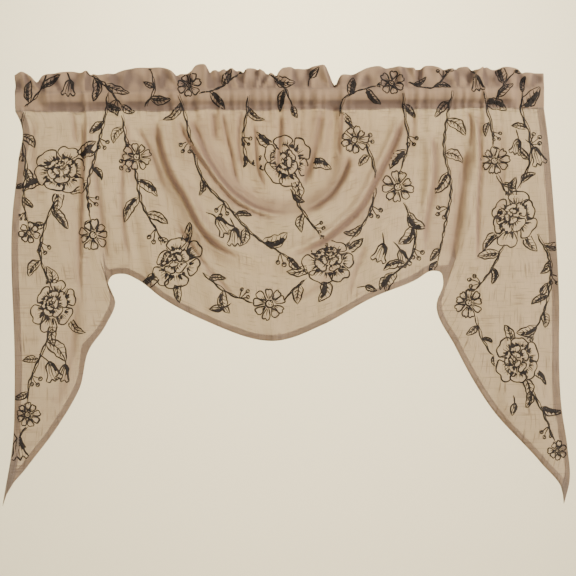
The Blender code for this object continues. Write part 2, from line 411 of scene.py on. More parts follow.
# Broad folds of the swag and drops of the tails. A rise is how far the ridge stands forward. Roll
# tips a ridge over a hollow: 1 with the ridge on the right of someone who walks down the route,
# -1 with it on the left.
#    name, rise, half width, roll, route of (x, z)
ROLLS = (
    ("cowl rim", 17, 26, 0.9, (
        (-204, -45), (-182, -95), (-146, -150), (-102, -206), (-40, -243), (12, -252), (72, -238),
        (118, -196), (146, -130),
    )),
    ("cowl belly", 13, 30, -0.7, (
        (-262, -45), (-243, -140), (-202, -214), (-150, -300), (-72, -345), (5, -352), (84, -322),
        (150, -262), (204, -180), (250, -84), (268, -40),
    )),
    ("cowl hollow", -9, 46, 0.0, (
        (-96, -60), (-70, -140), (-20, -196), (30, -196), (62, -140), (84, -60),
    )),
    ("swag's lower fall", 5, 26, 0.0, ((120, -300), (60, -385), (-30, -418), (-120, -372))),
    ("left swag shoulder", 4, 20, 0.0, ((-292, -70), (-262, -190), (-212, -300))),
    ("right swag shoulder", 4, 18, 0.0, ((302, -70), (272, -190), (214, -300))),
    ("left inner drop", 6, 13, 0.5, ((-314, -60), (-324, -190), (-318, -285), (-298, -385))),
    ("left middle drop", 5, 13, 0.0, ((-398, -90), (-396, -200), (-392, -300), (-382, -385))),
    ("left flat", 4, 20, 0.0, ((-352, -60), (-356, -180), (-350, -300), (-338, -372))),
    ("left outer drop", 3, 22, 0.0, ((-470, -60), (-474, -200), (-470, -330))),
    ("right inner drop", 6, 13, -0.5, ((312, -85), (309, -190), (298, -372))),
    ("right middle drop", 6, 14, 0.0, ((411, -45), (406, -180), (398, -310), (380, -400))),
    ("right flat", 4, 20, 0.0, ((352, -60), (346, -180), (336, -300), (326, -368))),
    ("right outer drop", 4, 24, 0.0, ((470, -60), (476, -200), (470, -340))),
    ("left tail wave", 7, 28, -0.3, ((-498, -300), (-508, -520), (-538, -740))),
    ("left tail turn", 7, 24, 0.4, ((-384, -420), (-436, -560), (-500, -710))),
    ("right tail wave", 8, 30, 0.3, ((508, -300), (522, -540), (574, -760))),
    ("right tail turn", 7, 24, -0.4, ((352, -430), (424, -580), (516, -735))),
)

# Creases between the folds. Each is a narrow groove, with a raised lip on the right (1) or the
# left (-1) of someone who walks down the route, or none (0). Closeness is how dense the sheer
# looks where it doubles into the crease, and also how strong the shade painted into the crease
# is, that shade reaching further on the side away from the lip.
#    name, depth, half width, lip, closeness, route of (x, z)
CREASES = (
    ("long left crease", 6.5, 7.5, -1, 0.85, (
        (-263, -45), (-256, -80), (-249, -115), (-239, -145), (-226, -175), (-212, -197), (-198, -220),
        (-182, -250), (-165, -280), (-148, -302), (-126, -321), (-98, -336), (-62, -346),
    )),
    ("cowl rim, lower", 4.5, 5.0, -1, 0.70, (
        (-216, -42), (-207, -62), (-197, -85), (-185, -105), (-172, -125), (-160, -143), (-148, -160),
        (-136, -178), (-122, -195), (-108, -212), (-90, -229), (-68, -242), (-42, -254), (-10, -262),
        (30, -262),
    )),
    ("cowl rim, upper", 5.0, 5.5, 1, 0.80, (
        (-187, -40), (-178, -64), (-168, -85), (-160, -105), (-152, -125), (-140, -145), (-127, -165),
        (-112, -185), (-95, -203), (-77, -217), (-56, -231), (-34, -241), (-6, -248), (30, -250),
    )),
    ("first left pleat", 4.5, 4.5, 0, 0.72, (
        (-120, -34), (-115, -60), (-111, -85), (-105, -110), (-100, -130), (-97, -152), (-90, -176),
        (-78, -198),
    )),
    ("pleat at the cowl's edge", 4.5, 5.5, 0, 0.60, ((-138, -36), (-136, -62), (-136, -96))),
    ("second left pleat", 4.5, 5.0, 0, 0.64, (
        (-78, -34), (-83, -62), (-86, -92), (-83, -128), (-74, -160),
    )),
    ("third left pleat", 3.5, 5.0, 0, 0.52, ((-52, -60), (-50, -110), (-44, -160), (-28, -202))),
    ("centre crease", 4.5, 5.5, 0, 0.62, ((4, -42), (2, -90), (-4, -140), (-6, -184))),
    ("left shoulder crease", 3.0, 6.5, 0, 0.35, (
        (-300, -62), (-290, -82), (-278, -102), (-268, -126), (-257, -152), (-245, -186), (-231, -216),
    )),
    ("left arch crease", 3.0, 7.0, 0, 0.30, (
        (-318, -50), (-316, -90), (-311, -130), (-307, -170), (-303, -206),
    )),
    ("swag's left fall", 3.0, 6.5, 0, 0.42, (
        (-218, -262), (-195, -300), (-180, -320), (-165, -342), (-148, -365), (-130, -385),
        (-112, -405), (-97, -423), (-84, -441),
    )),
    ("long right crease", 7.5, 7.0, 1, 1.05, (
        (268, -38), (262, -55), (252, -80), (244, -100), (236, -118), (228, -135), (216, -158),
        (204, -180), (192, -203), (178, -228), (165, -246), (150, -262), (134, -277), (118, -291),
        (98, -306), (72, -322), (40, -334), (0, -344),
    )),
    ("upper right pleat", 4.0, 4.5, 0, 0.62, (
        (133, -36), (131, -58), (128, -80), (126, -100), (126, -118), (131, -138),
    )),
    ("cowl's right crease", 5.0, 7.0, -1, 0.72, (
        (147, -126), (142, -150), (135, -168), (125, -186), (113, -204), (97, -221), (76, -236),
        (48, -248),
    )),
    ("inner right crease", 4.0, 9.0, -1, 0.50, (
        (91, -34), (86, -60), (80, -90), (73, -120), (64, -150), (52, -178), (38, -200),
    )),
    ("right shoulder crease", 3.0, 5.5, 0, 0.32, ((280, -36), (284, -60), (282, -92), (272, -124))),
    ("swag's right fall", 3.0, 8.0, 0, 0.30, ((178, -318), (162, -356), (150, -392), (143, -430))),
    ("swag's lower fall", 2.5, 10.0, 0, 0.25, ((118, -352), (92, -390), (58, -416), (10, -434))),
    ("right arch crease", 4.5, 7.5, 1, 0.55, (
        (322, -80), (327, -120), (328, -150), (325, -190), (318, -222), (310, -262), (305, -300),
        (300, -350),
    )),
    ("right upper pleat", 3.5, 4.5, 0, 0.50, ((398, -36), (403, -66), (401, -96), (397, -120))),
    ("right wide crease", 5.0, 9.5, -1, 0.55, (
        (398, -108), (389, -160), (380, -220), (372, -280), (362, -335), (352, -378),
    )),
    ("right sharp crease", 4.5, 5.0, 1, 0.60, (
        (420, -34), (422, -100), (424, -150), (421, -200), (418, -260), (417, -320), (411, -384),
    )),
    ("right tail crease", 2.5, 12.0, 0, 0.22, ((464, -60), (468, -130), (464, -200), (458, -280))),
    ("left sharp crease", 4.5, 6.0, -1, 0.52, (
        (-412, -36), (-411, -70), (-412, -120), (-415, -160), (-418, -220), (-420, -280), (-421, -340),
        (-420, -400), (-415, -460),
    )),
    ("left pocket crease", 3.0, 5.0, 0, 0.38, ((-433, -34), (-431, -66), (-427, -104))),
    ("left wide crease", 3.5, 9.0, 0, 0.42, (
        (-390, -120), (-383, -190), (-376, -250), (-369, -310), (-360, -368),
    )),
    ("left drop crease", 4.0, 8.5, 0, 0.42, (
        (-325, -96), (-330, -170), (-330, -245), (-322, -310), (-310, -366),
    )),
    ("left tail crease", 2.5, 13.0, 0, 0.25, ((-514, -46), (-517, -100), (-516, -160), (-512, -230))),
    ("left tail shade", 2.5, 15.0, 0, 0.28, (
        (-424, -410), (-432, -470), (-438, -530), (-452, -600), (-476, -670),
    )),
)

# Slow unevenness of hung cloth, and fine puckers at the stitched seams.
#    across/mm  down/mm  height  phase
RIPPLES = (
    (95,    310,    1.3,    0.4),
    (57,    260,    0.9,    2.1),
    (170,   420,    1.8,    4.0),
    (38,    190,    0.5,    1.2),
)
#    pitch  height  phase
PUCKERS = (
    (9.7,   0.55,   0.3),
    (13.9,  0.60,   1.9),
    (23.1,  0.50,   4.4),
)
PUCKER_REACH = 26.0

# How far the weft sags in the middle of the swag, and how far down and across it does so.
WEFT_SAG = 90.0
WEFT_SAG_DEPTH = 300.0
WEFT_SAG_HALF_WIDTH = 300.0

# A pleat at its foot, as a share of its width at the crest, and how its two sides fall away.
PLEAT_FOOT_WIDTH = 0.40
PLEAT_SOFT_SIDE = 1.25
PLEAT_STEEP_SIDE = 0.42

# Closeness of the weave and shade painted into the cloth's colour, as shares: 0 where it hangs
# flat, 1 where it is closest or deepest in a fold.
DOUBLED_CLOSENESS = 0.95    # ruffle and pocket, where the cloth is folded double
# Under the gathers the weave looks closer, and this also darkens the swag's middle as painted shade in
# the cowl.
GATHERED_CLOSENESS_AND_SHADE = 0.34   # under the gathers, in the middle of the swag
GATHERED_HALF_WIDTH = 215.0
GATHERED_FROM = -270.0      # the height at which the gathers start to close the weave
GATHERED_OVER = 200.0       # and the rise over which they do
# Painted shade along the doubled hems, fading at their inner edges.
HEM_PAINTED_SHADE = 0.10
HEM_FADES_FROM = 0.85       # the hem's tone fades at its inner edge, in shares of its width
HEM_FADES_OVER = 0.30
BACK_TONE = 0.40            # the back of the heading against its front
ROD_SHADE_FROM = 9.0        # below the rod's axis, where its shade on the pocket starts
ROD_SHADE_DEEPENS = 15.0

# How the sheer passes light, as shares.
WEAVE_COVER = 0.55          # the flat weave; a fold adds the rest as it closes
SLUB_COVER = 0.22           # what a slub adds to it
SCATTERED = 0.30            # of what shows through the cloth, the light scattered on its way
FACE_SHARE = 0.62           # the face of the cloth, against what shows through it
THREAD_SCALE = 180.0


def smooth_path(rows, count):
    """Evenly spaced points on a smooth curve through the rows' numbers."""
    knots = np.array(rows, dtype=float)
    steps = np.linalg.norm(np.diff(knots, axis=0), axis=1)
    travelled = np.concatenate(([0.0], np.cumsum(steps)))
    slopes = np.gradient(knots, travelled, axis=0)
    wanted = np.linspace(0.0, travelled[-1], count)
    span = np.clip(np.searchsorted(travelled, wanted, side="right") - 1, 0, len(steps) - 1)
    length = steps[span][:, None]
    q = (wanted - travelled[span])[:, None] / length
    return (
        (2 * q**3 - 3 * q**2 + 1) * knots[span]
        + (q**3 - 2 * q**2 + q) * length * slopes[span]
        + (3 * q**2 - 2 * q**3) * knots[span + 1]
        + (q**3 - q**2) * length * slopes[span + 1]
    )


def read_smooth(rows, position):
    """The second column of a table at a place in its first column, on a smooth curve."""
    curve = smooth_path(rows, CURVE_STEPS)
    order = np.argsort(curve[:, 0])
    return np.interp(position, curve[order, 0], curve[order, 1])


def bump(q):
    """A rounded ridge, 1 high, at q = 0."""
    return np.exp(-q * q)


def tip(q):
    """A ridge at q = 1 beside a hollow at q = -1."""
    return q * np.exp((1.0 - q * q) / 2.0)


def ease(q):
    """A soft start: 0 at q = 0 and 1 from q = 1 on."""
    q = np.clip(q, 0.0, 1.0)
    return q * q * (3.0 - 2.0 * q)


def across_route(route, x, z):
    """Distance from a fold's route, and how far along it: positive on the right of someone who
    walks down the route, as seen from the front."""
    line = smooth_path(route, ROUTE_STEPS)
    heading = np.gradient(line, axis=0)
    heading /= np.linalg.norm(heading, axis=1)[:, None]
    best = np.full(x.shape, np.inf)
    side = np.zeros(x.shape)
    along = np.zeros(x.shape)
    for step, (point, course) in enumerate(zip(line, heading)):
        to_x, to_z = x - point[0], z - point[1]
        away = np.hypot(to_x, to_z)
        nearer = away < best
        best = np.where(nearer, away, best)
        side = np.where(nearer, course[1] * to_x - course[0] * to_z, side)
        along = np.where(nearer, step / (len(line) - 1), along)
    return np.sign(side) * best, along


def gather_rise(along, below_seam, up=0.0):
    """How far the gathers stand forward: below the pocket they fade, up the ruffle they spread."""
    total = np.zeros(np.broadcast(along, below_seam, up).shape)
    for middle, half_width, rise, reach, lean in GATHERS:
        width = half_width * (1.0 + GATHER_SPREADS_UP * up)
        width = width * (1.0 + GATHER_SPREADS_DOWN * np.clip(below_seam / reach, 0.0, 1.0))
        total += rise * bump((along - middle - lean * up) / width) * bump(below_seam / reach)
    return total


def pleat_form(along, up):
    """The ruffle's pleats: how far they stand forward, the shade painted on their steep sides
    and the highlight painted on their soft ones, and notches.
    """
    rise = np.zeros(np.broadcast(along, up).shape)
    dark = np.zeros_like(rise)
    notch = np.zeros_like(rise)
    for foot, top, half_width, forward, cut, steep in PLEATS:
        width = half_width * (PLEAT_FOOT_WIDTH + (1.0 - PLEAT_FOOT_WIDTH) * up)
        q = steep * (along - foot - (top - foot) * up) / width
        side = np.where(q < 0.0, q / PLEAT_SOFT_SIDE, q / PLEAT_STEEP_SIDE)
        rise += forward * (0.35 + 0.65 * up) * bump(side)
        shade_width = np.maximum(0.24 + 0.40 * np.sin(math.pi * up), 3.0 / width)
        # painted shade down each pleat's steep side; the next line paints a faint highlight on its soft
        # side
        dark += 0.26 * forward * bump((q - 0.62) / shade_width) * (1.0 - 0.55 * up)
        dark -= 0.06 * forward * bump((q + 0.45) / 0.7)
        notch += cut * bump((q - 0.75) / 0.36)
    return rise, dark, notch


def crumples(along, up):
    """How far the ruffle's crumples stand forward: most at half its height."""
    total = 0.0 * (along + up)
    for pitch, lean, height, phase in CRUMPLES:
        drift = along + lean * up + 9.0 * np.sin(along / 37.0)
        total += height * np.sin(2 * math.pi * drift / pitch + phase)
    return total * np.sin(math.pi * np.clip(0.15 + 0.80 * up, 0.0, 1.0))


def puckers(along, from_seam):
    """Fine creases that the stitching draws up beside a seam."""
    total = sum(h * np.sin(2 * math.pi * along / p + phase) for p, h, phase in PUCKERS)
    return total * np.exp(-from_seam / PUCKER_REACH)


def fold_rise(x, z):
    """How far the broad folds stand forward at a place in the front view."""
    total = np.zeros_like(x)
    for _name, rise, half_width, roll, route in ROLLS:
        across, along = across_route(route, x, z)
        q = across / half_width
        taper = ease(along / 0.18) * ease((1.0 - along) / 0.22)
        total += rise * taper * ((1.0 - 0.5 * abs(roll)) * bump(q) + 0.6 * roll * tip(q))
    return total


def crease_form(x, z):
    """How far the creases move the cloth forward, and how close the weave looks there, which is
    also the shade painted into them.

    A lip stands 1.7 half widths beside its groove, and the closeness, as painted shade, fades
    more slowly on the groove's other side.
    """
    rise = np.zeros_like(x)
    close = np.zeros_like(x)
    for _name, depth, half_width, lip, closeness_and_shade, route in CREASES:
        across, along = across_route(route, x, z)
        q = across / half_width
        taper = ease(along / 0.12) * ease((1.0 - along) / 0.25)
        rise += depth * taper * (1.1 * abs(lip) * bump((q - 1.7 * lip) / 1.2) - 1.2 * bump(q / 0.72))
        reach = np.where(q * lip < 0.0, 2.6, 0.7)
        # painted shade: a dark core in the groove and a softer painted shadow beside it
        close += closeness_and_shade * taper * (0.85 * bump(q / 0.48) + 0.50 * np.exp(-np.abs(q) / reach))
    return rise, close


def thread_ends():
    """Where each column of the cloth starts on the rod and ends at the lower edge."""
    fine = smooth_path([row[1:] for row in LOWER_EDGE], EDGE_STEPS)
    change = np.abs(np.diff(fine, axis=0))
    pace = change[:, 0] + 0.2 * np.hypot(change[:, 1], change[:, 2])
    travelled = np.concatenate(([0.0], np.cumsum(pace)))
    wanted = np.linspace(0.0, travelled[-1], COLUMNS + 1)
    return [np.interp(wanted, travelled, fine[:, column]) for column in range(4)]


def hung_rows(start, edge_x, edge_z, hang):
    """The swag and tails, row by row from the pocket's seam to the lower edge."""
    down = np.linspace(0.0, 1.0, BODY_ROWS + 1)[:, None]
    seam = POCKET_SEAM + 1.2 * np.sin(start / 31.0) + 0.8 * np.sin(start / 12.3 + 1.0)
    x = start + (edge_x - start) * down**hang
    z = seam + (edge_z - seam) * down
    for side, side_x, point in ((LEFT_SIDE, CLOTH_LEFT, 0), (RIGHT_SIDE, CLOTH_RIGHT, -1)):
        straight = x[:, point][:, None]
        curved = read_smooth(side, z[:, point])[:, None]
        x = x + (curved - straight) * bump((start - side_x) / SIDE_REACH)

    depth = seam - z
    along = start + 0.0 * x
    forward = read_smooth(SWAG_BELLY, z) * np.exp(-((x / SWAG_HALF_WIDTH) ** 4)) + SEAM_GAP / 2
    forward += fold_rise(x, z) + gather_rise(along, depth) + puckers(along, depth)
    forward += crease_form(x, z)[0]
    for across, drop, height, phase in RIPPLES:
        wave = np.sin(2 * math.pi * (x / across + z / drop) + phase)
        forward += height * wave * ease(depth / 120.0)
    return x, -forward, z


def pocket_fill(start):
    """1 where the rod fills the pocket, 0 past its ends."""
    closes_at, closed_at = POCKET_CLOSES
    return 1.0 - ease((np.abs(start) - ROD_END - closes_at) / (closed_at - closes_at))


def ruffle_heights(start):
    """The height of the ruffle's seam, and of its crest with the notches of its pleats."""
    seam = HEADING_SEAM + read_smooth(SEAM_DRIFT, start)
    crest = read_smooth(HEADING_TOP, start) - pleat_form(start, 1.0)[2]
    return seam, crest


def heading_rows(start, seam_front):
    """The back of the pocket, the ruffle and the front of the pocket, from seam to seam."""
    ruffle_seam, crest = ruffle_heights(start)
    stand_off = np.maximum(gather_rise(start, 0.0) + 0.4 * puckers(start, 0.0), 0.0)
    back_off = 0.6 * np.maximum(gather_rise(start + BACK_GATHER_SHIFT, 0.0), 0.0)
    filled = pocket_fill(start)
    seam_y_at = np.sqrt(SEAM_REACH**2 - ruffle_seam**2)
    foot_y = -POCKET_FLAT - (seam_y_at - POCKET_FLAT) * filled
    level_foot_y = -POCKET_FLAT - (SEAM_FORWARD - POCKET_FLAT) * filled
    seam_y, seam_z = seam_front

    def pocket(side, extra, low_shift, head_shift):
        """One side of the pocket, from the ruffle's seam down round the rod to the lower seam."""
        reach = POCKET_RADIUS
        front_bend = ((0.96 * reach, 0.30 * reach),)
        over_rod = ((-0.62 * reach, 0.92 * reach), (0.0, 1.04 * reach), (0.70 * reach, 0.77 * reach))
        settles = 0.35 if side < 0 else 0.10
        knots = (
            (-side * SEAM_FORWARD, HEADING_SEAM),
            *(front_bend if side < 0 else over_rod),
            (reach, 0.0),
            (0.72 * reach, -0.76 * reach),
            (SEAM_GAP / 2 + 1.2, -0.72 * abs(POCKET_SEAM)),
            (SEAM_GAP / 2, POCKET_SEAM),
        )
        curve = smooth_path(knots, POCKET_ROWS + 1)
        share = np.linspace(0.0, 1.0, POCKET_ROWS + 1)[:, None]
        out = curve[:, :1] + extra * np.sin(math.pi * share) ** 0.6
        flat = np.clip(out, -POCKET_FLAT, POCKET_FLAT)
        y = side * (flat + (out - flat) * filled)
        y = y + head_shift * (1.0 - ease(share / settles)) + low_shift * ease((share - 0.75) / 0.25)
        z = curve[:, 1:] + (seam_z - POCKET_SEAM) * ease((share - 0.5) / 0.5)
        z = z + (ruffle_seam - HEADING_SEAM) * (1.0 - ease(share / settles))
        return y, z

    def ruffle(side):
        """One side of the ruffle, from its seam up to the fold."""
        up = np.linspace(0.0, 1.0, RUFFLE_ROWS + 1)[:, None]
        wave = 2.2 - 0.5 * gather_rise(start, 0.0, up) - 1.7 * pleat_form(start, up)[0]
        wave = wave - crumples(start, up)
        settle = 0.25 + 0.75 * ease(up / 0.5)
        foot = foot_y * (1.0 - 0.6 * ease(up))
        y = foot + wave * settle + side * LAYER_GAP / 2 * (1.0 - 0.35 * up**3)
        return y, ruffle_seam + (crest - ruffle_seam) * up

    seam_shift = seam_y + SEAM_GAP / 2
    fore_y, fore_z = ruffle(-1)
    rear_y, rear_z = ruffle(1)
    front_y, front_z = pocket(-1, stand_off, seam_shift, fore_y[0] - level_foot_y)
    back_y, back_z = pocket(1, back_off, seam_shift, rear_y[0] - level_foot_y)
    crest_y = (fore_y[-1] + rear_y[-1]) / 2
    y = np.vstack((back_y[::-1], rear_y[1:], crest_y, fore_y[::-1], front_y[1:]))
    z = np.vstack((back_z[::-1], rear_z[1:], crest + CREST_ROUND, fore_z[::-1], front_z[1:]))
    return start + 0.0 * y, y, z


def cloth_surface():
    """The middle of the cloth, as rows of threads by columns, and its outward normals."""
    start, edge_x, edge_z, hang = thread_ends()
    body = hung_rows(start, edge_x, edge_z, hang)
    head = heading_rows(start, (body[1][0], body[2][0]))
    place = np.stack([np.vstack((above[:-1], below)) for above, below in zip(head, body)], axis=-1)
    down, across = np.gradient(place, axis=0), np.gradient(place, axis=1)
    normal = np.cross(down, across)
    normal /= np.linalg.norm(normal, axis=2)[..., None]
    return place, normal, start


surface, surface_normal, rod_place = cloth_surface()
SEAM_ROW = surface.shape[0] - 1 - BODY_ROWS
FACE_ROW = SEAM_ROW - POCKET_ROWS - RUFFLE_ROWS     # the first row on the front, under the crest

# Length of cloth from the pocket's lower seam: positive down the drape, negative up and over.
thread_steps = np.linalg.norm(np.diff(surface, axis=0), axis=2)
cloth_length = np.vstack((np.zeros(len(rod_place)), np.cumsum(thread_steps, axis=0)))
cloth_length -= cloth_length[SEAM_ROW]
drop = surface[SEAM_ROW, :, 2] - surface[SEAM_ROW:, :, 2]
cloth_length[SEAM_ROW:] = drop


def read_grid(grid, row, column):
    """Values of a grid between its rows and columns."""
    row = np.clip(row, 0, grid.shape[0] - 1.001)
    column = np.clip(column, 0, grid.shape[1] - 1.001)
    r, c = row.astype(int), column.astype(int)
    fr, fc = (row - r)[..., None], (column - c)[..., None]
    low = grid[r, c] * (1 - fc) + grid[r, c + 1] * fc
    high = grid[r + 1, c] * (1 - fc) + grid[r + 1, c + 1] * fc
    return low * (1 - fr) + high * fr


def hem_steps(lines, width):
    """How many grid steps a hem reaches in from the first line, so that it is one width all along."""
    run = np.gradient(lines[0], axis=0)
    run /= np.linalg.norm(run, axis=1)[:, None]
    reach = np.linalg.norm(np.cross(lines - lines[0], run), axis=-1)
    reach = np.maximum.accumulate(reach, axis=0)
    steps = np.arange(len(lines))
    return np.array([np.interp(width, each, steps) for each in reach.T])


across_first = surface.transpose(1, 0, 2)
lower_hem = hem_steps(surface[::-1][:HEM_LINES], LOWER_HEM_WIDTH)
left_hem = hem_steps(across_first[:HEM_LINES], SIDE_HEM_WIDTH)
right_hem = hem_steps(across_first[::-1][:HEM_LINES], SIDE_HEM_WIDTH)


def cloth_with_hems():
    """Grid places of every vertex, with the hems turned to the back: row, column and set-back."""
    rows, columns = surface.shape[:2]
    share = np.linspace(1.0, 0.0, HEM_STEPS)
    column = np.tile(np.arange(columns, dtype=float), (rows, 1))
    left = left_hem[:, None] * share
    right = columns - 1 - right_hem[:, None] * share[::-1]
    column = np.hstack((left, column, right))
    row = np.tile(np.arange(rows, dtype=float)[:, None], (1, column.shape[1]))
    back = np.zeros(column.shape)
    back[:, :HEM_STEPS] = back[:, -HEM_STEPS:] = HEM_GAP

    lower = np.pad(lower_hem, HEM_STEPS, mode="edge")
    turned = rows - 1 - lower * share[::-1][:, None]
    row = np.vstack((row, turned))
    column = np.vstack((column, np.tile(column[-1], (HEM_STEPS, 1))))
    back = np.vstack((back, back[-1] + np.full((HEM_STEPS, 1), HEM_GAP)))
    return row, column, back


def heading_painted_shade(along, z, slope, start):
    """Painted shade on the ruffle and the pocket, deepest where they lie in a fold."""
    ruffle_seam, crest = ruffle_heights(start)
    up = np.clip((z - ruffle_seam) / (crest - ruffle_seam), 0.0, 1.0)
    ridge = np.clip(gather_rise(along, 0.0, up) / 5.0, -0.6, 1.0)
    flank = bump((ridge - 0.24) / 0.13)
    patch = 0.55 + 0.40 * np.sin(along / 23.0 + 1.0) + 0.30 * np.sin(along / 9.1)
    hollow = np.clip(1.0 - 0.8 * ridge, 0.0, 1.3) * np.clip(patch, 0.0, 1.0)
    # Painted shade on the ruffle: the pleats' steep sides, its slopes, the crumples' hollows, and low
    # down between the gathers.
    ruffle = 2.0 * pleat_form(along, up)[1] + 0.5 * slope
    ruffle += 0.26 * np.clip(0.4 - crumples(along, up), 0.0, 2.8)
    ruffle += 0.62 * (1.0 - 0.8 * up) * hollow + 0.30 * flank * (1.0 - up)

    # Painted shade of the rod on the pocket below its axis, lighter where gathers stand out, with dark
    # lines at the gathers' flanks and along the ruffle's seam.
    shade = ease((-z - ROD_SHADE_FROM) / 7.0) + 0.3 * ease((-z - ROD_SHADE_DEEPENS) / 10.0)
    pocket = shade * pocket_fill(start) * (1.10 - 0.65 * ridge) + 0.32 * flank
    pocket += 0.30 * bump((z - ruffle_seam) / 2.5)
    return np.where(z > ruffle_seam, ruffle, pocket)


def fold_closeness_and_shade(place, normal, start):
    """How close the weave looks, and the shade painted where it lies deep in a fold: both 0 where it
    hangs flat.
    """
    x, z = place[..., 0], place[..., 2]
    along = start + 0.0 * x
    rows, columns = x.shape
    row, column = np.mgrid[0:rows, 0:columns]
    in_body = row >= SEAM_ROW

    from_side = np.minimum(column / left_hem[:, None], (columns - 1 - column) / right_hem[:, None])
    from_low = (rows - 1 - row) / lower_hem
    hem = 1.0 - ease((np.minimum(from_side, from_low) - HEM_FADES_FROM) / HEM_FADES_OVER)
    # Cloth tilted away from the front looks denser; as painted shade the tilt also darkens the folds'
    # flanks.
    slope = 1.0 - np.abs(normal[..., 1])
    crease = crease_form(x, z)[1] + slope
    heading = heading_painted_shade(along, z, slope, start) * np.where(row >= FACE_ROW, 1.0, BACK_TONE)

    gathered = np.exp(-((x / GATHERED_HALF_WIDTH) ** 4)) * ease((z - GATHERED_FROM) / GATHERED_OVER)
    close = np.where(in_body, crease + GATHERED_CLOSENESS_AND_SHADE * gathered, DOUBLED_CLOSENESS)
    # Painted shade: creases and tilted flanks in the body, the heading's painted shade above the seam,
    # and the hems.
    deep = np.where(in_body, crease, heading) + HEM_PAINTED_SHADE * hem
    return np.stack((np.clip(close, 0.0, 1.0), np.clip(deep, 0.0, 1.0)), axis=-1)


def flat_weave(place, start):
    """Where each point lies in the flat cloth: across the weave, and down it."""
    depth = POCKET_SEAM - place[..., 2]
    middle = np.clip(1.0 - (place[..., 0] / WEFT_SAG_HALF_WIDTH) ** 2, 0.0, 1.0) ** 2
    sag = WEFT_SAG * middle * ease(depth / WEFT_SAG_DEPTH)
    down = np.where(cloth_length > 0.0, depth - sag, cloth_length)
    across = (start + 0.0 * down) * FULLNESS
    return np.stack((across, down), axis=-1)


def grid_faces(rows, columns):
    """Triangles over rows and columns of points, with the front face out."""
    index = np.arange(rows * columns).reshape(rows, columns)
    a, b = index[:-1, :-1].ravel(), index[:-1, 1:].ravel()
    c, d = index[1:, 1:].ravel(), index[1:, :-1].ravel()
    return np.vstack((np.column_stack((a, d, c)), np.column_stack((a, c, b)))).tolist()


def thin_piece(name, vertices, faces, thickness=0.0):
    """A new smooth piece in the scene; with a thickness, half of it lies on each side."""
    mesh = bpy.data.meshes.new(name)
    mesh.from_pydata(vertices, [], faces)
    mesh.shade_smooth()
    piece = bpy.data.objects.new(name, mesh)
    bpy.context.scene.collection.objects.link(piece)
    if thickness:
        body = piece.modifiers.new("thickness", "SOLIDIFY")
        body.thickness = thickness * MM
        body.offset = 0.0
    return piece


def make_cloth():
    """The drape, with its hems, its flat-cloth UV map, and the closeness and painted shade of its folds.
    """
    row, column, back = cloth_with_hems()
    points = read_grid(surface, row, column) - back[..., None] * read_grid(surface_normal, row, column)
    tones = read_grid(fold_closeness_and_shade(surface, surface_normal, rod_place), row, column)
    weave = read_grid(flat_weave(surface, rod_place), row, column)
    vertices = (points.reshape(-1, 3) * MM).tolist()
    cloth = thin_piece("drape_cloth", vertices, grid_faces(*points.shape[:2]), CLOTH_THICKNESS)

    mesh = cloth.data
    for name, tone in (("closeness_and_shade", tones[..., 0]), ("painted_fold_shade", tones[..., 1])):
        held = mesh.attributes.new(name, "FLOAT", "POINT")
        held.data.foreach_set("value", tone.ravel().astype(np.float32))
    corners = np.zeros(len(mesh.loops), dtype=np.int32)
    mesh.loops.foreach_get("vertex_index", corners)
    uv = weave.reshape(-1, 2)[corners] * MM
    mesh.uv_layers.new(name="flat_cloth").data.foreach_set("uv", uv.ravel().astype(np.float32))
    return cloth


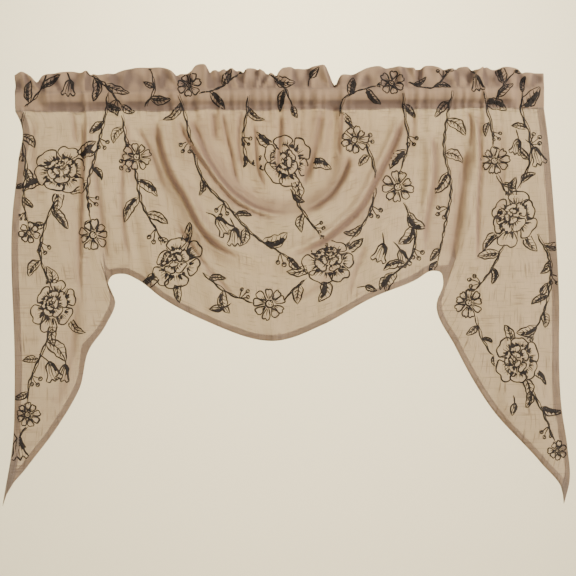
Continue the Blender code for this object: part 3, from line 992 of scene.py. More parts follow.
def weave_group():
    """Slub weave in flat-cloth coordinates: its thick slubs, its slow clouds and its relief."""
    group = bpy.data.node_groups.new("slub_weave", "ShaderNodeTree")
    for name, way, kind in (
        ("Place", "INPUT", "Vector"),
        ("Threads", "INPUT", "Float"),
        ("Slubs", "OUTPUT", "Float"),
        ("Cloud", "OUTPUT", "Float"),
        ("Relief", "OUTPUT", "Float"),
    ):
        group.interface.new_socket(name, in_out=way, socket_type="NodeSocket" + kind)
    came = add_node(group, "NodeGroupInput")
    gives = add_node(group, "NodeGroupOutput")

    def yarn_mask(scale, threshold, soft, offset):
        """Thick stretches of yarn: noise drawn out along one way of the weave."""
        spread = add_node(group, "ShaderNodeMapping", Scale=(*scale, 1.0), Location=(offset, offset, 0.0))
        noise = add_node(group, "ShaderNodeTexNoise", Scale=1.0, Detail=1.5, Roughness=0.5)
        mask = add_node(group, "ShaderNodeMapRange", From_Min=threshold, From_Max=threshold + soft)
        join(
            group,
            (came, "Place", spread, "Vector"),
            (spread, "Vector", noise, "Vector"),
            (noise, "Fac", mask, "Value"),
        )
        return mask.outputs["Result"]

    def combine(operation, first, second):
        """The sum, product or larger of two values, each a node's output or a number."""
        node = add_node(group, "ShaderNodeMath", operation=operation)
        for socket, value in zip(node.inputs, (first, second)):
            if isinstance(value, float):
                socket.default_value = value
            else:
                group.links.new(value, socket)
        return node.outputs["Value"]

    def threads(direction):
        """The even threads of one way of the weave."""
        wave = add_node(group, "ShaderNodeTexWave", bands_direction=direction)
        join(group, (came, "Place", wave, "Vector"), (came, "Threads", wave, "Scale"))
        return wave.outputs["Fac"]

    weft = yarn_mask((20.0, 520.0), 0.590, 0.07, 3.1)
    warp = yarn_mask((520.0, 20.0), 0.585, 0.07, 7.7)
    fine_weft = yarn_mask((60.0, 1500.0), 0.40, 0.35, 1.3)
    fine_warp = yarn_mask((1500.0, 60.0), 0.40, 0.35, 5.9)
    cloud = yarn_mask((9.0, 9.0), 0.30, 0.40, 11.0)
    slubs = combine("MAXIMUM", weft, warp)
    fine = combine("ADD", fine_weft, fine_warp)
    thread = combine("MAXIMUM", threads("X"), threads("Y"))
    relief = combine("ADD", combine("MULTIPLY", thread, 0.35), combine("MULTIPLY", fine, 0.3))
    relief = combine("ADD", relief, combine("MULTIPLY", slubs, 0.8))
    group.links.new(combine("ADD", slubs, combine("MULTIPLY", fine, 0.22)), gives.inputs["Slubs"])
    group.links.new(cloud, gives.inputs["Cloud"])
    group.links.new(relief, gives.inputs["Relief"])
    return group


def sheer_cloth():
    """Taupe slub sheer: part of the light passes straight through, part is scattered through."""
    material, tree, shader = new_material("sheer_slub_cloth", Roughness=0.85, Specular_IOR_Level=0.2)
    place = add_node(tree, "ShaderNodeUVMap", uv_map="flat_cloth")
    weave = add_node(tree, "ShaderNodeGroup", node_tree=weave_group())
    weave.inputs["Threads"].default_value = THREAD_SCALE
    # The weave's closeness, which also carries painted shade, and the shade painted into the folds.
    folds = add_node(tree, "ShaderNodeAttribute", attribute_name="closeness_and_shade")
    dark = add_node(tree, "ShaderNodeAttribute", attribute_name="painted_fold_shade")
    join(tree, (place, "UV", weave, "Place"))

    def blend(mask, first, second, strength):
        """A colour that moves from the first to the second by a share of the mask."""
        share = add_node(tree, "ShaderNodeMath", operation="MULTIPLY")
        share.inputs[1].default_value = strength
        tree.links.new(mask, share.inputs[0])
        mix = add_node(tree, "ShaderNodeMix", data_type="RGBA")
        tree.links.new(share.outputs["Value"], mix.inputs["Factor"])
        for socket, value in ((mix.inputs["A"], first), (mix.inputs["B"], second)):
            if isinstance(value, tuple):
                socket.default_value = (*value, 1.0)
            else:
                tree.links.new(value, socket)
        return mix.outputs["Result"]

    cloud = blend(weave.outputs["Cloud"], (0.385, 0.306, 0.230), (0.418, 0.336, 0.257), 1.0)
    yarn = blend(weave.outputs["Slubs"], cloud, (0.16, 0.122, 0.092), 0.80)
    # Where the weave closes it warms and hides more of what is behind; the mask also holds painted shade
    # beside creases and in the cowl.
    close = blend(folds.outputs["Fac"], yarn, (0.49, 0.338, 0.202), 0.90)
    # Painted shade: the fold mask darkens the colour towards deep brown in creases, pleats, under the rod
    # and along the hems.
    colour = blend(dark.outputs["Fac"], close, (0.20, 0.138, 0.105), 0.85)
    tree.links.new(colour, shader.inputs["Base Color"])
    add_relief(tree, shader, weave, "Relief", 0.5, 0.0004)

    cover = add_node(tree, "ShaderNodeMath", operation="MULTIPLY_ADD", use_clamp=True)
    cover.inputs[1].default_value = 1.0 - WEAVE_COVER
    cover.inputs[2].default_value = WEAVE_COVER
    more = add_node(tree, "ShaderNodeMath", operation="MULTIPLY_ADD", use_clamp=True)
    more.inputs[1].default_value = SLUB_COVER
    through = add_node(tree, "ShaderNodeBsdfTranslucent", Color=(0.55, 0.45, 0.345, 1.0))
    clear = add_node(tree, "ShaderNodeBsdfTransparent")
    # Painted shade also darkens the light that shows through the weave.
    gaps = blend(dark.outputs["Fac"], (0.655, 0.518, 0.308), (0.45, 0.32, 0.24), 1.0)
    tree.links.new(gaps, clear.inputs["Color"])
    sheer = add_node(tree, "ShaderNodeMixShader", Fac=SCATTERED)
    cloth_shader = add_node(tree, "ShaderNodeMixShader", Fac=FACE_SHARE)
    join(
        tree,
        (folds, "Fac", cover, 0),
        (weave, "Slubs", more, 0),
        (cover, "Value", more, 2),
        (more, "Value", shader, "Alpha"),
        (clear, "BSDF", sheer, 1),
        (through, "BSDF", sheer, 2),
        (sheer, "Shader", cloth_shader, 1),
        (shader, "BSDF", cloth_shader, 2),
        (cloth_shader, "Shader", tree.nodes["Material Output"], "Surface"),
    )
    return material


cloth = make_cloth()
cloth.data.materials.append(sheer_cloth())
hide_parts("cloth")
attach(cloth, "root")


# ---- Print -------------------------------------------------------------------------------------
# A loose pen sketch of camellias, daisies, bellflowers, berries and leafy branches, printed on
# the face of the cloth in near-black ink. It is laid out in the front view, stroke by stroke, and
# each stroke lies on the folds as a thin film of ink.

INK_LIFT = 0.42             # middle of the film from the middle of the cloth
INK_THICKNESS = 0.14
PEN_STEP = 2.4
PEN_WEIGHT = 1.22
FOLD_HIDES = 0.60           # a stroke stops where the cloth is this deep in a fold
DEEPEST_STEP = 7.0          # and where it would leap from one fold to the next
LEAF_MAY_HIDE = 0.05        # a leaf is left out where more of it than this share would be hidden
INK_STARTS = -400.0         # well in front of the drape: the print is dropped on it from here
LANE_WIDTH = 2.6            # a wide stroke is a film of several lanes
DISC_SHARE = 0.88           # a flower hides stems and leaves within this share of its size
DISC_HEIGHT = 0.88          # and its disc is a little lower than wide
FACING_US = ("camellia", "daisy")
BLOOM_LEAVES = (-64.0, 96.0, 148.0)     # the turns at which leaves stand out from a camellia

# Flowers: middle, radius or length, and turn in degrees.
#    kind         x      z     size  turn
FLOWERS = (
    ("camellia",  -458,  -158, 60,   15),
    ("daisy",     -392,  -292, 33,   0),
    ("camellia",  -474,  -438, 57,   70),
    ("daisy",     -528,  -286, 24,   30),
    ("daisy",     -532,  -668, 27,   10),
    ("bell",      -486,  -560, 40,   200),
    ("bell",      -452,  -566, 34,   165),
    ("bell",      -556,  -722, 42,   188),
    ("daisy",     -300,  -128, 31,   20),
    ("camellia",  -214,  -352, 58,   40),
    ("bell",      -128,  -262, 40,   215),
    ("bell",      -92,   -284, 36,   180),
    ("camellia",  16,    -138, 60,   110),
    ("daisy",     -22,   -438, 35,   15),
    ("bud",       -118,  -446, 30,   95),
    ("daisy",     158,   -96,  29,   0),
    ("camellia",  102,   -352, 55,   5),
    ("daisy",     248,   -196, 34,   25),
    ("bell",      214,   -318, 38,   160),
    ("bell",      250,   -330, 36,   195),
    ("bud",       176,   -404, 26,   250),
    ("daisy",     452,   -142, 31,   10),
    ("camellia",  492,   -262, 61,   55),
    ("bell",      536,   -116, 38,   200),
    ("bell",      502,   -98,  32,   165),
    ("daisy",     396,   -440, 30,   5),
    ("camellia",  498,   -560, 56,   90),
    ("bud",       548,   -424, 30,   330),
    ("daisy",     580,   -752, 21,   20),
    ("bud",       490,   -652, 26,   165),
    ("daisy",     -188,  20,   25,   12),
    ("bell",      -438,  32,   34,   175),
    ("daisy",     236,   22,   26,   30),
    ("bud",       66,    34,   28,   320),
    ("bell",      412,   34,   32,   190),
)

# Branches: thickness, length of a leaf, distance between leaves, route.
BRANCHES = (
    (2.2, 42, 36, ((-470, -216), (-494, -268), (-506, -326), (-490, -384))),
    (2.0, 38, 34, ((-358, 4), (-366, -36), (-384, -110), (-404, -196), (-398, -260))),
    (2.0, 40, 38, ((-484, -494), (-506, -548), (-530, -606), (-532, -642))),
    (1.8, 24, 60, ((-536, -694), (-546, -706), (-552, -716))),
    (1.8, 26, 32, ((-538, -34), (-543, -60), (-534, -150), (-540, -230), (-530, -262))),
    (2.2, 44, 38, ((-330, -40), (-322, -96), (-306, -150), (-290, -226), (-246, -300))),
    (2.0, 36, 36, ((-160, -374), (-112, -414), (-56, -436))),
    (2.2, 42, 38, (
        (-210, -2), (-196, -52), (-182, -116), (-158, -184), (-110, -236), (-52, -300), (20, -344),
    )),
    (1.8, 34, 32, ((-66, -4), (-70, -44), (-78, -92), (-62, -142), (-44, -150))),
    (2.0, 34, 34, ((22, -198), (44, -246), (82, -298))),
    (2.2, 42, 38, (
        (134, -10), (128, -44), (150, -68), (186, -120), (198, -196), (176, -268), (142, -312),
    )),
    (2.0, 38, 34, ((258, -2), (262, -44), (270, -104), (252, -164))),
    (2.2, 40, 36, ((258, -230), (280, -286), (272, -342), (226, -386))),
    (1.8, 30, 32, ((52, -388), (16, -420), (8, -432))),
    (2.2, 42, 38, ((362, 4), (353, -44), (344, -116), (358, -196), (344, -280), (330, -352))),
    (2.0, 34, 34, ((428, 0), (436, -36), (446, -76), (450, -112))),
    (2.0, 30, 34, ((456, -172), (466, -192), (474, -206))),
    (2.2, 42, 38, ((500, -202), (524, -146), (524, -84), (508, -38), (512, 2))),
    (2.2, 40, 36, ((470, -318), (440, -374), (410, -412))),
    (2.0, 38, 36, ((540, -296), (566, -352), (562, -430), (530, -510))),
    (2.2, 38, 36, ((516, -612), (546, -668), (574, -732))),
    (1.8, 30, 32, ((408, -468), (424, -520), (446, -552))),
    (2.0, 36, 30, ((-534, -22), (-504, 10), (-486, 48))),
    (2.0, 38, 32, ((-404, 50), (-366, 22), (-330, -20))),
    (1.8, 32, 30, ((-282, -24), (-262, 10), (-268, 52))),
    (2.0, 36, 32, ((-166, 0), (-124, 14), (-84, 44))),
    (2.0, 34, 30, ((-22, 44), (6, 18), (28, -24))),
    (1.8, 34, 32, ((130, -12), (168, 6), (204, 16))),
    (2.0, 36, 32, ((270, 22), (318, 10), (356, 44))),
    (1.8, 32, 30, ((450, -24), (466, 12), (494, 44))),
)

pen_hand = random.Random(23)


def on_circle(radius, angle, middle=(0.0, 0.0)):
    """A point on a circle."""
    return (middle[0] + radius * math.cos(angle), middle[1] + radius * math.sin(angle))


def redrawn(rows, wide=1.0, high=1.0, up=0.0):
    """Strokes made wider and higher, and moved up."""
    return [([(wide * x, high * y + up) for x, y in knots], *rest) for knots, *rest in rows]


def petal(inner, outer, aim, spread, hatches, dark):
    """One petal of a flower that faces us: a frilled outline, and shading lines from its base."""
    def at(out, side):
        """A point of the petal, by its shares of the way out and to one side."""
        return on_circle(inner + (outer - inner) * out, aim + spread * side)

    frill = [pen_hand.uniform(-0.05, 0.05) for _ in range(5)]
    outline = [at(0.0, 0.5), at(0.35, 0.88), at(0.70, 1.0), at(0.93 + frill[0], 0.72)]
    outline += [at(1.0 + frill[1], 0.4), at(0.92 + frill[2], 0.1), at(1.0 + frill[3], -0.25)]
    outline += [at(0.94 + frill[4], -0.66), at(0.70, -1.0), at(0.35, -0.88), at(0.0, -0.5)]
    rows = [(outline, pen_hand.uniform(1.9, 2.6), 0.10, 0.10)]
    for k in range(hatches):
        side = 0.62 * (2.0 * (k + 0.5) / hatches - 1.0) + pen_hand.uniform(-0.08, 0.08)
        reach = pen_hand.uniform(0.35, 0.68)
        hatch = [at(0.02, side * 0.8), at(reach / 2, side), at(reach, side * 0.95)]
        rows.append((hatch, 1.5, 0.05, 0.8))
    if dark:
        rows.append(([at(0.0, 0.30), at(0.22, 0.42), at(0.46, 0.55)], dark, 0.05, 0.9))
        rows.append(([at(0.0, -0.42), at(0.20, -0.50), at(0.40, -0.62)], 0.7 * dark, 0.05, 0.9))
    return rows


# The camellia's rounds of petals, from the outside in, as shares of its size.
#    inner  outer  petals  spread  hatches  dark stroke
CAMELLIA_ROUNDS = (
    (0.50,  1.0,   6,      0.50,   5,       8.0),
    (0.25,  0.58,  5,      0.60,   3,       5.5),
    (0.08,  0.32,  3,      0.90,   1,       3.5),
)


def camellia(size):
    """A full bloom, a little turned away: three rounds of uneven petals and a tight dark heart."""
    rows = []
    for inner, outer, petals, spread, hatches, dark in CAMELLIA_ROUNDS:
        offset = pen_hand.uniform(0.0, 1.0)
        drawn = []
        for k in range(petals):
            aim = 2.0 * math.pi * (k + offset + pen_hand.uniform(-0.10, 0.10)) / petals
            reach = size * outer * pen_hand.uniform(0.80, 1.08)
            wide = spread * pen_hand.uniform(0.86, 1.16)
            drawn += petal(size * inner, reach, aim, wide, hatches, dark * pen_hand.uniform(0.3, 1.1))
            gap = aim + math.pi / petals
            root = size * inner * 0.98
            for share, width in ((1.32, 1.1 * dark), (1.62, 0.5 * dark)):
                shade = [on_circle(root, gap), on_circle(share * root, gap)]
                drawn.append((shade, width * pen_hand.uniform(0.4, 1.1), 0.1, 0.9))
        rows += redrawn(drawn, up=0.22 * size * (1.0 - outer))
    curl = [on_circle(size * 0.018 * k, k, (0.0, 0.2 * size)) for k in range(1, 7)]
    rows.append((curl, 3.2, 0.2, 0.3))
    return redrawn(rows, high=0.82)


def daisy(size):
    """An open flower of slim petals round a stippled button."""
    rows = []
    petals = 9 if size > 26 else 7
    for k in range(petals):
        aim = 2.0 * math.pi * (k + pen_hand.uniform(-0.12, 0.12)) / petals
        reach = size * pen_hand.uniform(0.86, 1.05)
        rows += petal(size * 0.27, reach, aim, 2.6 / petals, 1, 3.2 if k % 2 else 0.0)
    button = [on_circle(0.22 * size, 0.25 * math.pi * k) for k in range(9)]
    rows.append((button, 2.6, 0.1, 0.1))
    for k in range(5):
        dot = on_circle(0.10 * size, 1.3 * k)
        rows.append(([dot, (dot[0] + 2.4, dot[1] + 0.8)], 2.2, 0.4, 0.4))
    return rows


STALK = [(0.30, -0.62), (0.12, -0.34), (0.0, -0.02)]


def mirrored(knots):
    """The same line on the other side of a motif."""
    return [(-x, y) for x, y in knots]


def bell(size):
    """A bellflower seen from the side, its mouth away from its stalk at the origin."""
    side = [(0.04, 0.0), (0.20, 0.10), (0.26, 0.36), (0.30, 0.62), (0.46, 0.86)]
    half_lip = [(0.0, 1.02), (0.16, 0.84), (0.30, 0.98), (0.46, 0.86)]
    lip = mirrored(half_lip[:0:-1]) + half_lip
    rows = [(side, 2.2, 0.1, 0.1), (mirrored(side), 3.0, 0.1, 0.1), (lip, 2.2, 0.1, 0.1)]
    rows += [([(0.0, 0.06), (0.02, 0.5), (0.0, 0.96)], 1.6, 0.1, 0.7)]
    for x in (-0.09, 0.09):
        rows.append(([(x * 0.6, 0.05), (x * 1.5, 0.4), (x * 1.8, 0.8)], 1.5, 0.05, 0.6))
    rows.append(([(-0.05, 0.05), (-0.15, 0.22), (-0.19, 0.52)], 5.5, 0.1, 0.9))
    for x in (-0.22, 0.0, 0.22):
        rows.append(([(0.0, -0.08), (x * 0.7, 0.06), (x, 0.20)], 3.0, 0.2, 0.6))
    rows.append((STALK, 2.4, 0.3, 0.1))
    return redrawn(rows, size, size)


def bud(size):
    """A pointed bud, with its sepals at the origin."""
    side = [(0.0, 0.0), (0.20, 0.18), (0.21, 0.52), (0.0, 1.0)]
    rows = [(side, 2.2, 0.1, 0.2), (mirrored(side), 2.2, 0.1, 0.2)]
    rows.append(([(0.0, 0.94), (0.07, 0.60), (-0.05, 0.26)], 1.4, 0.2, 0.5))
    rows.append(([(-0.12, 0.12), (-0.13, 0.42), (-0.02, 0.78)], 4.5, 0.3, 0.8))
    for x, y in ((-0.30, 0.42), (0.30, 0.38), (0.06, 0.50)):
        rows.append(([(0.0, -0.06), (x * 0.6, y * 0.4), (x, y)], 2.6, 0.1, 0.8))
    rows.append((STALK, 2.2, 0.3, 0.1))
    return redrawn(rows, size, size)


def leaf(size):
    """A pointed leaf from its stalk at the origin: waved edges, midrib, veins, one half darker."""
    width = size * pen_hand.uniform(0.26, 0.48)
    bend = pen_hand.uniform(-0.2, 0.2)
    wave = pen_hand.uniform(13.0, 22.0)

    def at(t, side):
        """A point of the leaf, by its shares of the way up and to one edge."""
        frill = 1.0 + 0.1 * math.sin(wave * t + 2.0 * side)
        out = width / 2 * math.sin(math.pi * t**0.8) ** 0.85 * frill
        return (side * out + bend * size * math.sin(math.pi * t), size * t)

    steps = [0.97 * k / 8 + 0.015 for k in range(9)]
    rows = [([at(t, side) for t in steps], pen_hand.uniform(1.7, 2.8), 0.3, 0.15) for side in (1.0, -1.0)]
    rows.append(([at(t, 0.0) for t in (0.02, 0.3, 0.6, 0.96)], 2.2, 0.1, 0.5))
    shaded = pen_hand.choice((1.0, -1.0))
    fullness = pen_hand.choice((0.03, 0.10, 0.20))
    veins = 3 + int(size > 34)
    for k in range(veins):
        t = 0.12 + 0.66 * k / veins
        for half in (1.0, -1.0):
            vein = [at(t, 0.0), at(t + 0.08, 0.42 * half), at(t + 0.13, 0.80 * half)]
            rows.append((vein, 1.4, 0.1, 0.6))
        fill = [at(t, 0.12 * shaded), at(t + 0.08, 0.36 * shaded), at(t + 0.20, 0.58 * shaded)]
        rows.append((fill, size * fullness * pen_hand.uniform(0.5, 1.1), 0.1, 0.8))
    return rows


def berries(size):
    """Three round berries on short stalks."""
    rows = []
    r = 0.15 * size
    for turn, reach in ((-0.5, 0.85), (0.1, 1.0), (0.65, 0.8)):
        x, y = size * reach * math.sin(turn), size * reach * math.cos(turn)
        rows.append(([(0.0, 0.0), (0.55 * x + 1.0, 0.5 * y), (x, y)], 1.8, 0.1, 0.2))
        ring = [on_circle(r, 0.3 + 0.7 * math.pi / 3 * k, (x, y)) for k in range(10)]
        rows.append((ring, 2.2, 0.1, 0.1))
        shade = y - 0.5 * r
        rows.append(([(x - 0.4 * r, shade), (x + 0.4 * r, shade)], 1.2 * r, 0.4, 0.4))
    return rows


def pen_path(knots):
    """Places a pen step apart on a smooth line, and the line's length."""
    length = sum(math.dist(a, b) for a, b in zip(knots, knots[1:]))
    return smooth_path(knots, max(5, round(length / PEN_STEP))), length


def pen_stroke(knots, width, start, end, shake=0.45):
    """Places along a smooth pen line, and its width at each: thinner at its ends, never straight."""
    places, length = pen_path(knots)
    t = np.linspace(0.0, 1.0, len(places))
    for axis in (0, 1):
        phase, pitch = pen_hand.uniform(0.0, 6.3), pen_hand.uniform(3.0, 6.0)
        places[:, axis] += shake * np.sin(t * length / pitch + phase)
    swell = 1.0 + 0.20 * np.sin(t * length / 6.0 + phase)
    return places, PEN_WEIGHT * width * swell * (0.4 + 0.6 * ease(t / start) * ease((1.0 - t) / end))


def placed(rows, x, z, turn):
    """A motif's strokes, turned by its degrees and moved to its place."""
    c, s = math.cos(math.radians(turn)), math.sin(math.radians(turn))
    return [
        pen_stroke([(x + c * a - s * b, z + s * a + c * b) for a, b in knots], *rest)
        for knots, *rest in rows
    ]


def shows(strokes):
    """Whether a leaf lies clear of the folds that would hide it."""
    places = np.vstack([stroke[0] for stroke in strokes])[::3]
    in_fold = crease_form(places[:, 0], places[:, 1])[1] > FOLD_HIDES
    return in_fold[places[:, 1] < POCKET_SEAM].sum() < LEAF_MAY_HIDE * len(places)


def turn_along(step):
    """The turn, in degrees, of a motif that grows along a step."""
    return math.degrees(math.atan2(step[1], step[0])) - 90.0


def branch(thickness, leaf_size, spacing, route):
    """The stem's strokes, and those of the leaves and berries that it bears on either side."""
    line, length = pen_path(route)
    stems = [pen_stroke(route, 1.3 * thickness, 0.08, 0.08, 1.0)]
    beside = [(x + 3.6, z + 1.0) for x, z in route[:-1]] + [route[-1]]
    stems.append(pen_stroke(beside, 1.6, 0.3, 0.3, 1.0))
    leaves = []
    side = pen_hand.choice((1, -1))
    for k in range(max(1, int(length / spacing))):
        share = (k + pen_hand.uniform(0.4, 0.8)) * spacing / length
        here = min(int(share * len(line)), len(line) - 2)
        side = -side
        turn = turn_along(line[here + 1] - line[here]) + side * pen_hand.uniform(24.0, 66.0)
        if k % 4 == 2:
            motif = berries(0.62 * leaf_size)
        else:
            motif = leaf(leaf_size * pen_hand.uniform(0.8, 1.5))
        grown = placed(motif, *line[here], turn)
        if shows(grown):
            leaves += grown
    end_leaf = leaf(0.8 * leaf_size)
    turn = turn_along(line[-1] - line[-4]) + pen_hand.uniform(-25.0, 25.0)
    return stems, leaves + placed(end_leaf, *line[-1], turn)


face_corners = grid_faces(*surface[FACE_ROW:].shape[:2])
face = BVHTree.FromPolygons(surface[FACE_ROW:].reshape(-1, 3).tolist(), face_corners)
fold_depth = crease_form(surface[FACE_ROW:, :, 0], surface[FACE_ROW:, :, 2])[1].ravel()
face_depth = fold_depth[np.array(face_corners)].max(axis=1)


def corners_of(grid):
    """The four corners of every cell of a grid."""
    return np.stack((grid[:-1, :-1], grid[1:, :-1], grid[1:, 1:], grid[:-1, 1:]), axis=-1)


def film_on_cloth(name, strokes, keep_clear=()):
    """One piece of thin film: every stroke dropped on the face of the cloth, cut where folds hide it."""
    vertices, faces = [], []
    for places, widths in strokes:
        course = np.gradient(places, axis=0)
        course /= np.linalg.norm(course, axis=1)[:, None]
        lanes = 2 + int(widths.max() / LANE_WIDTH)
        spread = np.linspace(-0.5, 0.5, lanes)[None, :] * widths[:, None]
        x = places[:, :1] - course[:, 1:] * spread
        z = places[:, 1:] + course[:, :1] * spread
        shown = np.ones(x.shape, dtype=bool)
        for middle_x, middle_z, radius in keep_clear:
            shown &= np.hypot(x - middle_x, (z - middle_z) / DISC_HEIGHT) > radius
        ids = np.full(x.shape, -1)
        depth = np.zeros(x.shape)
        for spot in zip(*np.nonzero(shown)):
            hit, normal, index, _far = face.ray_cast((x[spot], INK_STARTS, z[spot]), (0.0, 1.0, 0.0))
            if hit is None or face_depth[index] > FOLD_HIDES and z[spot] < POCKET_SEAM:
                continue
            out = normal if normal.y < 0.0 else -normal
            ids[spot] = len(vertices)
            depth[spot] = hit.y
            vertices.append(tuple((hit + out * INK_LIFT) * MM))
        cells = corners_of(ids)
        whole = (cells.min(axis=-1) >= 0) & (np.ptp(corners_of(depth), axis=-1) < DEEPEST_STEP)
        faces.append(cells[whole])
    used, faces = np.unique(np.vstack(faces), return_inverse=True)
    film = thin_piece(name, [vertices[k] for k in used], faces.reshape(-1, 4).tolist(), INK_THICKNESS)
    film.data.materials.append(ink)
    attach(film, "root")
    return film


def print_ink():
    """Matt pigment ink: near black, a little browner where it is thin on the tops of the threads."""
    material, tree, shader = new_material("print_ink", Roughness=0.8, Specular_IOR_Level=0.25)
    place = add_node(tree, "ShaderNodeTexCoord")
    grain = add_node(tree, "ShaderNodeTexNoise", Scale=700.0, Detail=2.0)
    patchy = add_node(tree, "ShaderNodeTexNoise", Scale=60.0, Detail=2.0)
    thin = add_node(tree, "ShaderNodeMath", operation="MULTIPLY")
    tone = two_tone(tree, (0.12, (0.008, 0.006, 0.005)), (0.42, (0.034, 0.026, 0.019)))
    join(
        tree,
        (place, "Object", grain, "Vector"),
        (place, "Object", patchy, "Vector"),
        (grain, "Fac", thin, 0),
        (patchy, "Fac", thin, 1),
        (thin, "Value", tone, "Fac"),
        (tone, "Color", shader, "Base Color"),
    )
    add_relief(tree, shader, grain, "Fac", 0.4, 0.0002)
    return material


motifs = {"camellia": camellia, "daisy": daisy, "bell": bell, "bud": bud}
flower_strokes, stem_strokes, leaf_strokes, flower_discs = [], [], [], []
for kind, x, z, size, turn in FLOWERS:
    flower_strokes += placed(motifs[kind](size), x, z, turn)
    if kind in FACING_US:
        flower_discs.append((x, z, size * DISC_SHARE))
    if kind == "camellia":
        for round_it in BLOOM_LEAVES:
            course = turn + round_it + pen_hand.uniform(-14.0, 14.0)
            edge_x = x - 0.70 * size * math.sin(math.radians(course))
            edge_z = z + 0.62 * size * math.cos(math.radians(course))
            leaf_strokes += placed(leaf(size * pen_hand.uniform(0.75, 1.0)), edge_x, edge_z, course)
for row in BRANCHES:
    stems, leaves = branch(*row)
    stem_strokes += stems
    leaf_strokes += leaves

ink = print_ink()
flower_print = film_on_cloth("print_flowers", flower_strokes)
stem_print = film_on_cloth("print_stems", stem_strokes, flower_discs)
leaf_print = film_on_cloth("print_leaves", leaf_strokes, flower_discs)


# ---- Stitching ---------------------------------------------------------------------------------
# Lockstitch in taupe polyester thread, sewn by machine: one line under the ruffle, one under the
# rod pocket, and one along the turned edge of every hem.

STITCH_PITCH = 3.4
STITCH_LENGTH = 2.7
THREAD_RADIUS = 0.22
THREAD_SIDES = 5
HEM_STITCH = 0.86           # from the edge, as a share of the hem's width
RUFFLE_STITCH = 0.25        # how far under the ruffle's seam its stitches lie, in rows of the grid
POCKET_STITCH = 0.35        # the same above the pocket's lower seam
FIRST_STITCH = 2.0          # from the start of a line of stitching, and from its end
LAST_STITCH = 4.0

# A stitch from end to end, as shares of its length, and how far each place rises off the cloth's
# face, in radii of the thread.
STITCH_STATIONS = np.array([0.0, 0.28, 0.72, 1.0])
STITCH_RISES = np.array([-1.0, 0.9, 0.9, -1.0])


def seam_lines():
    """The lines of stitching, as rows and columns of the cloth's grid."""
    rows, columns = surface.shape[:2]
    across = np.linspace(0.0, columns - 1.0, 4 * columns)
    down = np.linspace(FACE_ROW, rows - 1.0, 4 * rows)
    at_left = np.interp(down, np.arange(rows), left_hem) * HEM_STITCH
    at_right = columns - 1 - np.interp(down, np.arange(rows), right_hem) * HEM_STITCH
    low = rows - 1 - np.interp(across, np.arange(columns), lower_hem) * HEM_STITCH
    return (
        (np.full(across.shape, SEAM_ROW - POCKET_ROWS + RUFFLE_STITCH), across),
        (np.full(across.shape, SEAM_ROW - POCKET_STITCH), across),
        (down, at_left),
        (down, at_right),
        (low, across),
    )


def stitch_ring(middle, out, side):
    """The corners of a thread's cross-section, in metres."""
    turns = (2.0 * math.pi * k / THREAD_SIDES for k in range(THREAD_SIDES))
    reaches = (math.cos(turn) * out + math.sin(turn) * side for turn in turns)
    return [tuple((middle + THREAD_RADIUS * reach) * MM) for reach in reaches]


def stitch_faces(first):
    """The sides and ends of one stitch, from its first corner, all facing out."""
    n = THREAD_SIDES
    last = first + (len(STITCH_STATIONS) - 1) * n
    faces = [tuple(range(first, first + n)), tuple(range(last + n - 1, last - 1, -1))]
    for ring in range(first, last, n):
        for k in range(n):
            a, b = ring + k, ring + (k + 1) % n
            faces.append((a, a + n, b + n, b))
    return faces


def make_stitches():
    """Every stitch as a short bent bar of thread that dips into the cloth at both ends."""
    vertices, faces = [], []
    rises = CLOTH_THICKNESS / 2 + THREAD_RADIUS * STITCH_RISES
    for row, column in seam_lines():
        path = read_grid(surface, row, column)
        normal = read_grid(surface_normal, row, column)
        steps = np.linalg.norm(np.diff(path, axis=0), axis=1)
        travelled = np.concatenate(([0.0], np.cumsum(steps)))
        starts = np.arange(FIRST_STITCH, travelled[-1] - LAST_STITCH, STITCH_PITCH)
        stations = starts[:, None] + STITCH_LENGTH * STITCH_STATIONS
        places = [np.interp(stations, travelled, path[:, axis]) for axis in range(3)]
        outs = [np.interp(stations, travelled, normal[:, axis]) for axis in range(3)]
        for place, out in zip(np.stack(places, axis=-1), np.stack(outs, axis=-1)):
            side = np.cross(out[1], place[-1] - place[0])
            side /= np.linalg.norm(side)
            faces += stitch_faces(len(vertices))
            for middle, upward, rise in zip(place, out, rises):
                vertices += stitch_ring(middle + rise * upward, upward, side)
    return thin_piece("seam_stitches", vertices, faces)


# Spun polyester thread: taupe, with the twist's fine light and dark.
stitch_thread = mottled_finish(
    "stitch_thread",
    roughness=0.6,
    mottle=(1800.0, 1.0),
    dark=(0.35, (0.20, 0.145, 0.105)),
    light=(0.65, (0.36, 0.275, 0.205)),
    grain=(1800.0, 1.0),
    strength=0.5,
    depth=0.0001,
)
stitches = make_stitches()
stitches.data.materials.append(stitch_thread)
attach(stitches, "root")


# ---- Flat length -------------------------------------------------------------------------------
# The drape was cut from one flat length. Its flat width is the gathered width times its
# fullness, and its flat length runs from the lower hem over the heading to the back seam.


# ---- Stage -------------------------------------------------------------------------------------
# A plain pale floor and a plain pale wall well behind. A large lamp on the right lights the folds,
# a weaker one on the left fills them, and a third lights the wall, which shows through the sheer.

FLOOR_HEIGHT = -2.1
WALL_BEHIND = 3.4
STAGE_SIZE = 16.0
CAMERA_AWAY = 2.02
CAMERA_LENS = 60.0
CAMERA_RIGHT = 0.016
CAMERA_HEIGHT = -0.406
CAMERA_ROLL = 0.4
ROOM_LIGHT = (1.0, 0.99, 0.97)
ROOM_STRENGTH = 0.33

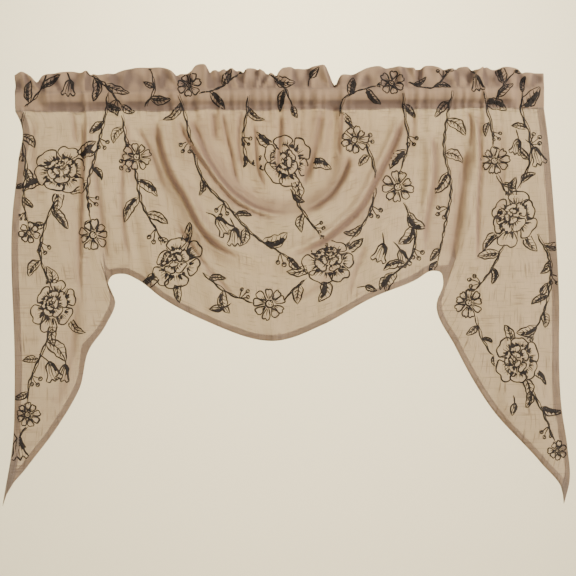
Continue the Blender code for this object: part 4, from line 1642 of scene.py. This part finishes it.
#    name         place              aims at                    size  power  colour
LAMPS = (
    ("side_lamp", (3.8, -2.7, 1.6),  (0.0, 0.0, -0.30),         1.2,  450.0, (1.0, 0.945, 0.90)),
    ("fill_lamp", (-3.0, -3.0, 0.4), (-0.3, 0.0, -0.45),        1.6,  95.0,  (1.0, 0.95, 0.91)),
    ("wall_lamp", (0.0, 1.0, 1.5),   (0.0, WALL_BEHIND, -0.6),  2.4,  240.0, (1.0, 0.93, 0.70)),
)


def stage_plane(name, place, tilt, colour):
    """A large matt plane in one plain colour, as the floor or the wall."""
    bpy.ops.mesh.primitive_plane_add(
        size=STAGE_SIZE, location=place, rotation=(math.radians(tilt), 0.0, 0.0)
    )
    plane = bpy.context.object
    plane.name = name
    paint, _tree, _shader = new_material(name + "_pale", Base_Color=(*colour, 1.0), Roughness=0.9)
    plane.data.materials.append(paint)
    return plane


bpy.ops.object.select_all(action="DESELECT")
floor = stage_plane("floor", (0.0, 0.0, FLOOR_HEIGHT), 0.0, (0.74, 0.72, 0.68))
wall = stage_plane("backdrop", (0.0, WALL_BEHIND, 0.0), 90.0, (0.80, 0.73, 0.54))


def soft_lamp(name, place, aim, size, power, colour):
    """A square lamp that faces a point."""
    lamp = bpy.data.lights.new(name, "AREA")
    lamp.size = size
    lamp.energy = power
    lamp.color = colour
    holder = bpy.data.objects.new(name, lamp)
    bpy.context.scene.collection.objects.link(holder)
    holder.location = place
    course = [b - a for a, b in zip(place, aim)]
    tilt = math.atan2(math.hypot(course[0], course[1]), -course[2])
    holder.rotation_euler = (tilt, 0.0, math.atan2(course[1], course[0]) - math.radians(90.0))


for lamp in LAMPS:
    soft_lamp(*lamp)

world = bpy.data.worlds.new("room")
world.use_nodes = True
set_up(world.node_tree.nodes["Background"], {"Color": (*ROOM_LIGHT, 1.0), "Strength": ROOM_STRENGTH})
bpy.context.scene.world = world

camera_data = bpy.data.cameras.new("camera")
camera_data.lens = CAMERA_LENS
camera = bpy.data.objects.new("camera", camera_data)
bpy.context.scene.collection.objects.link(camera)
camera.location = (CAMERA_RIGHT, -CAMERA_AWAY, CAMERA_HEIGHT)
camera.rotation_euler = (math.radians(90.0), math.radians(CAMERA_ROLL), 0.0)
bpy.context.scene.camera = camera
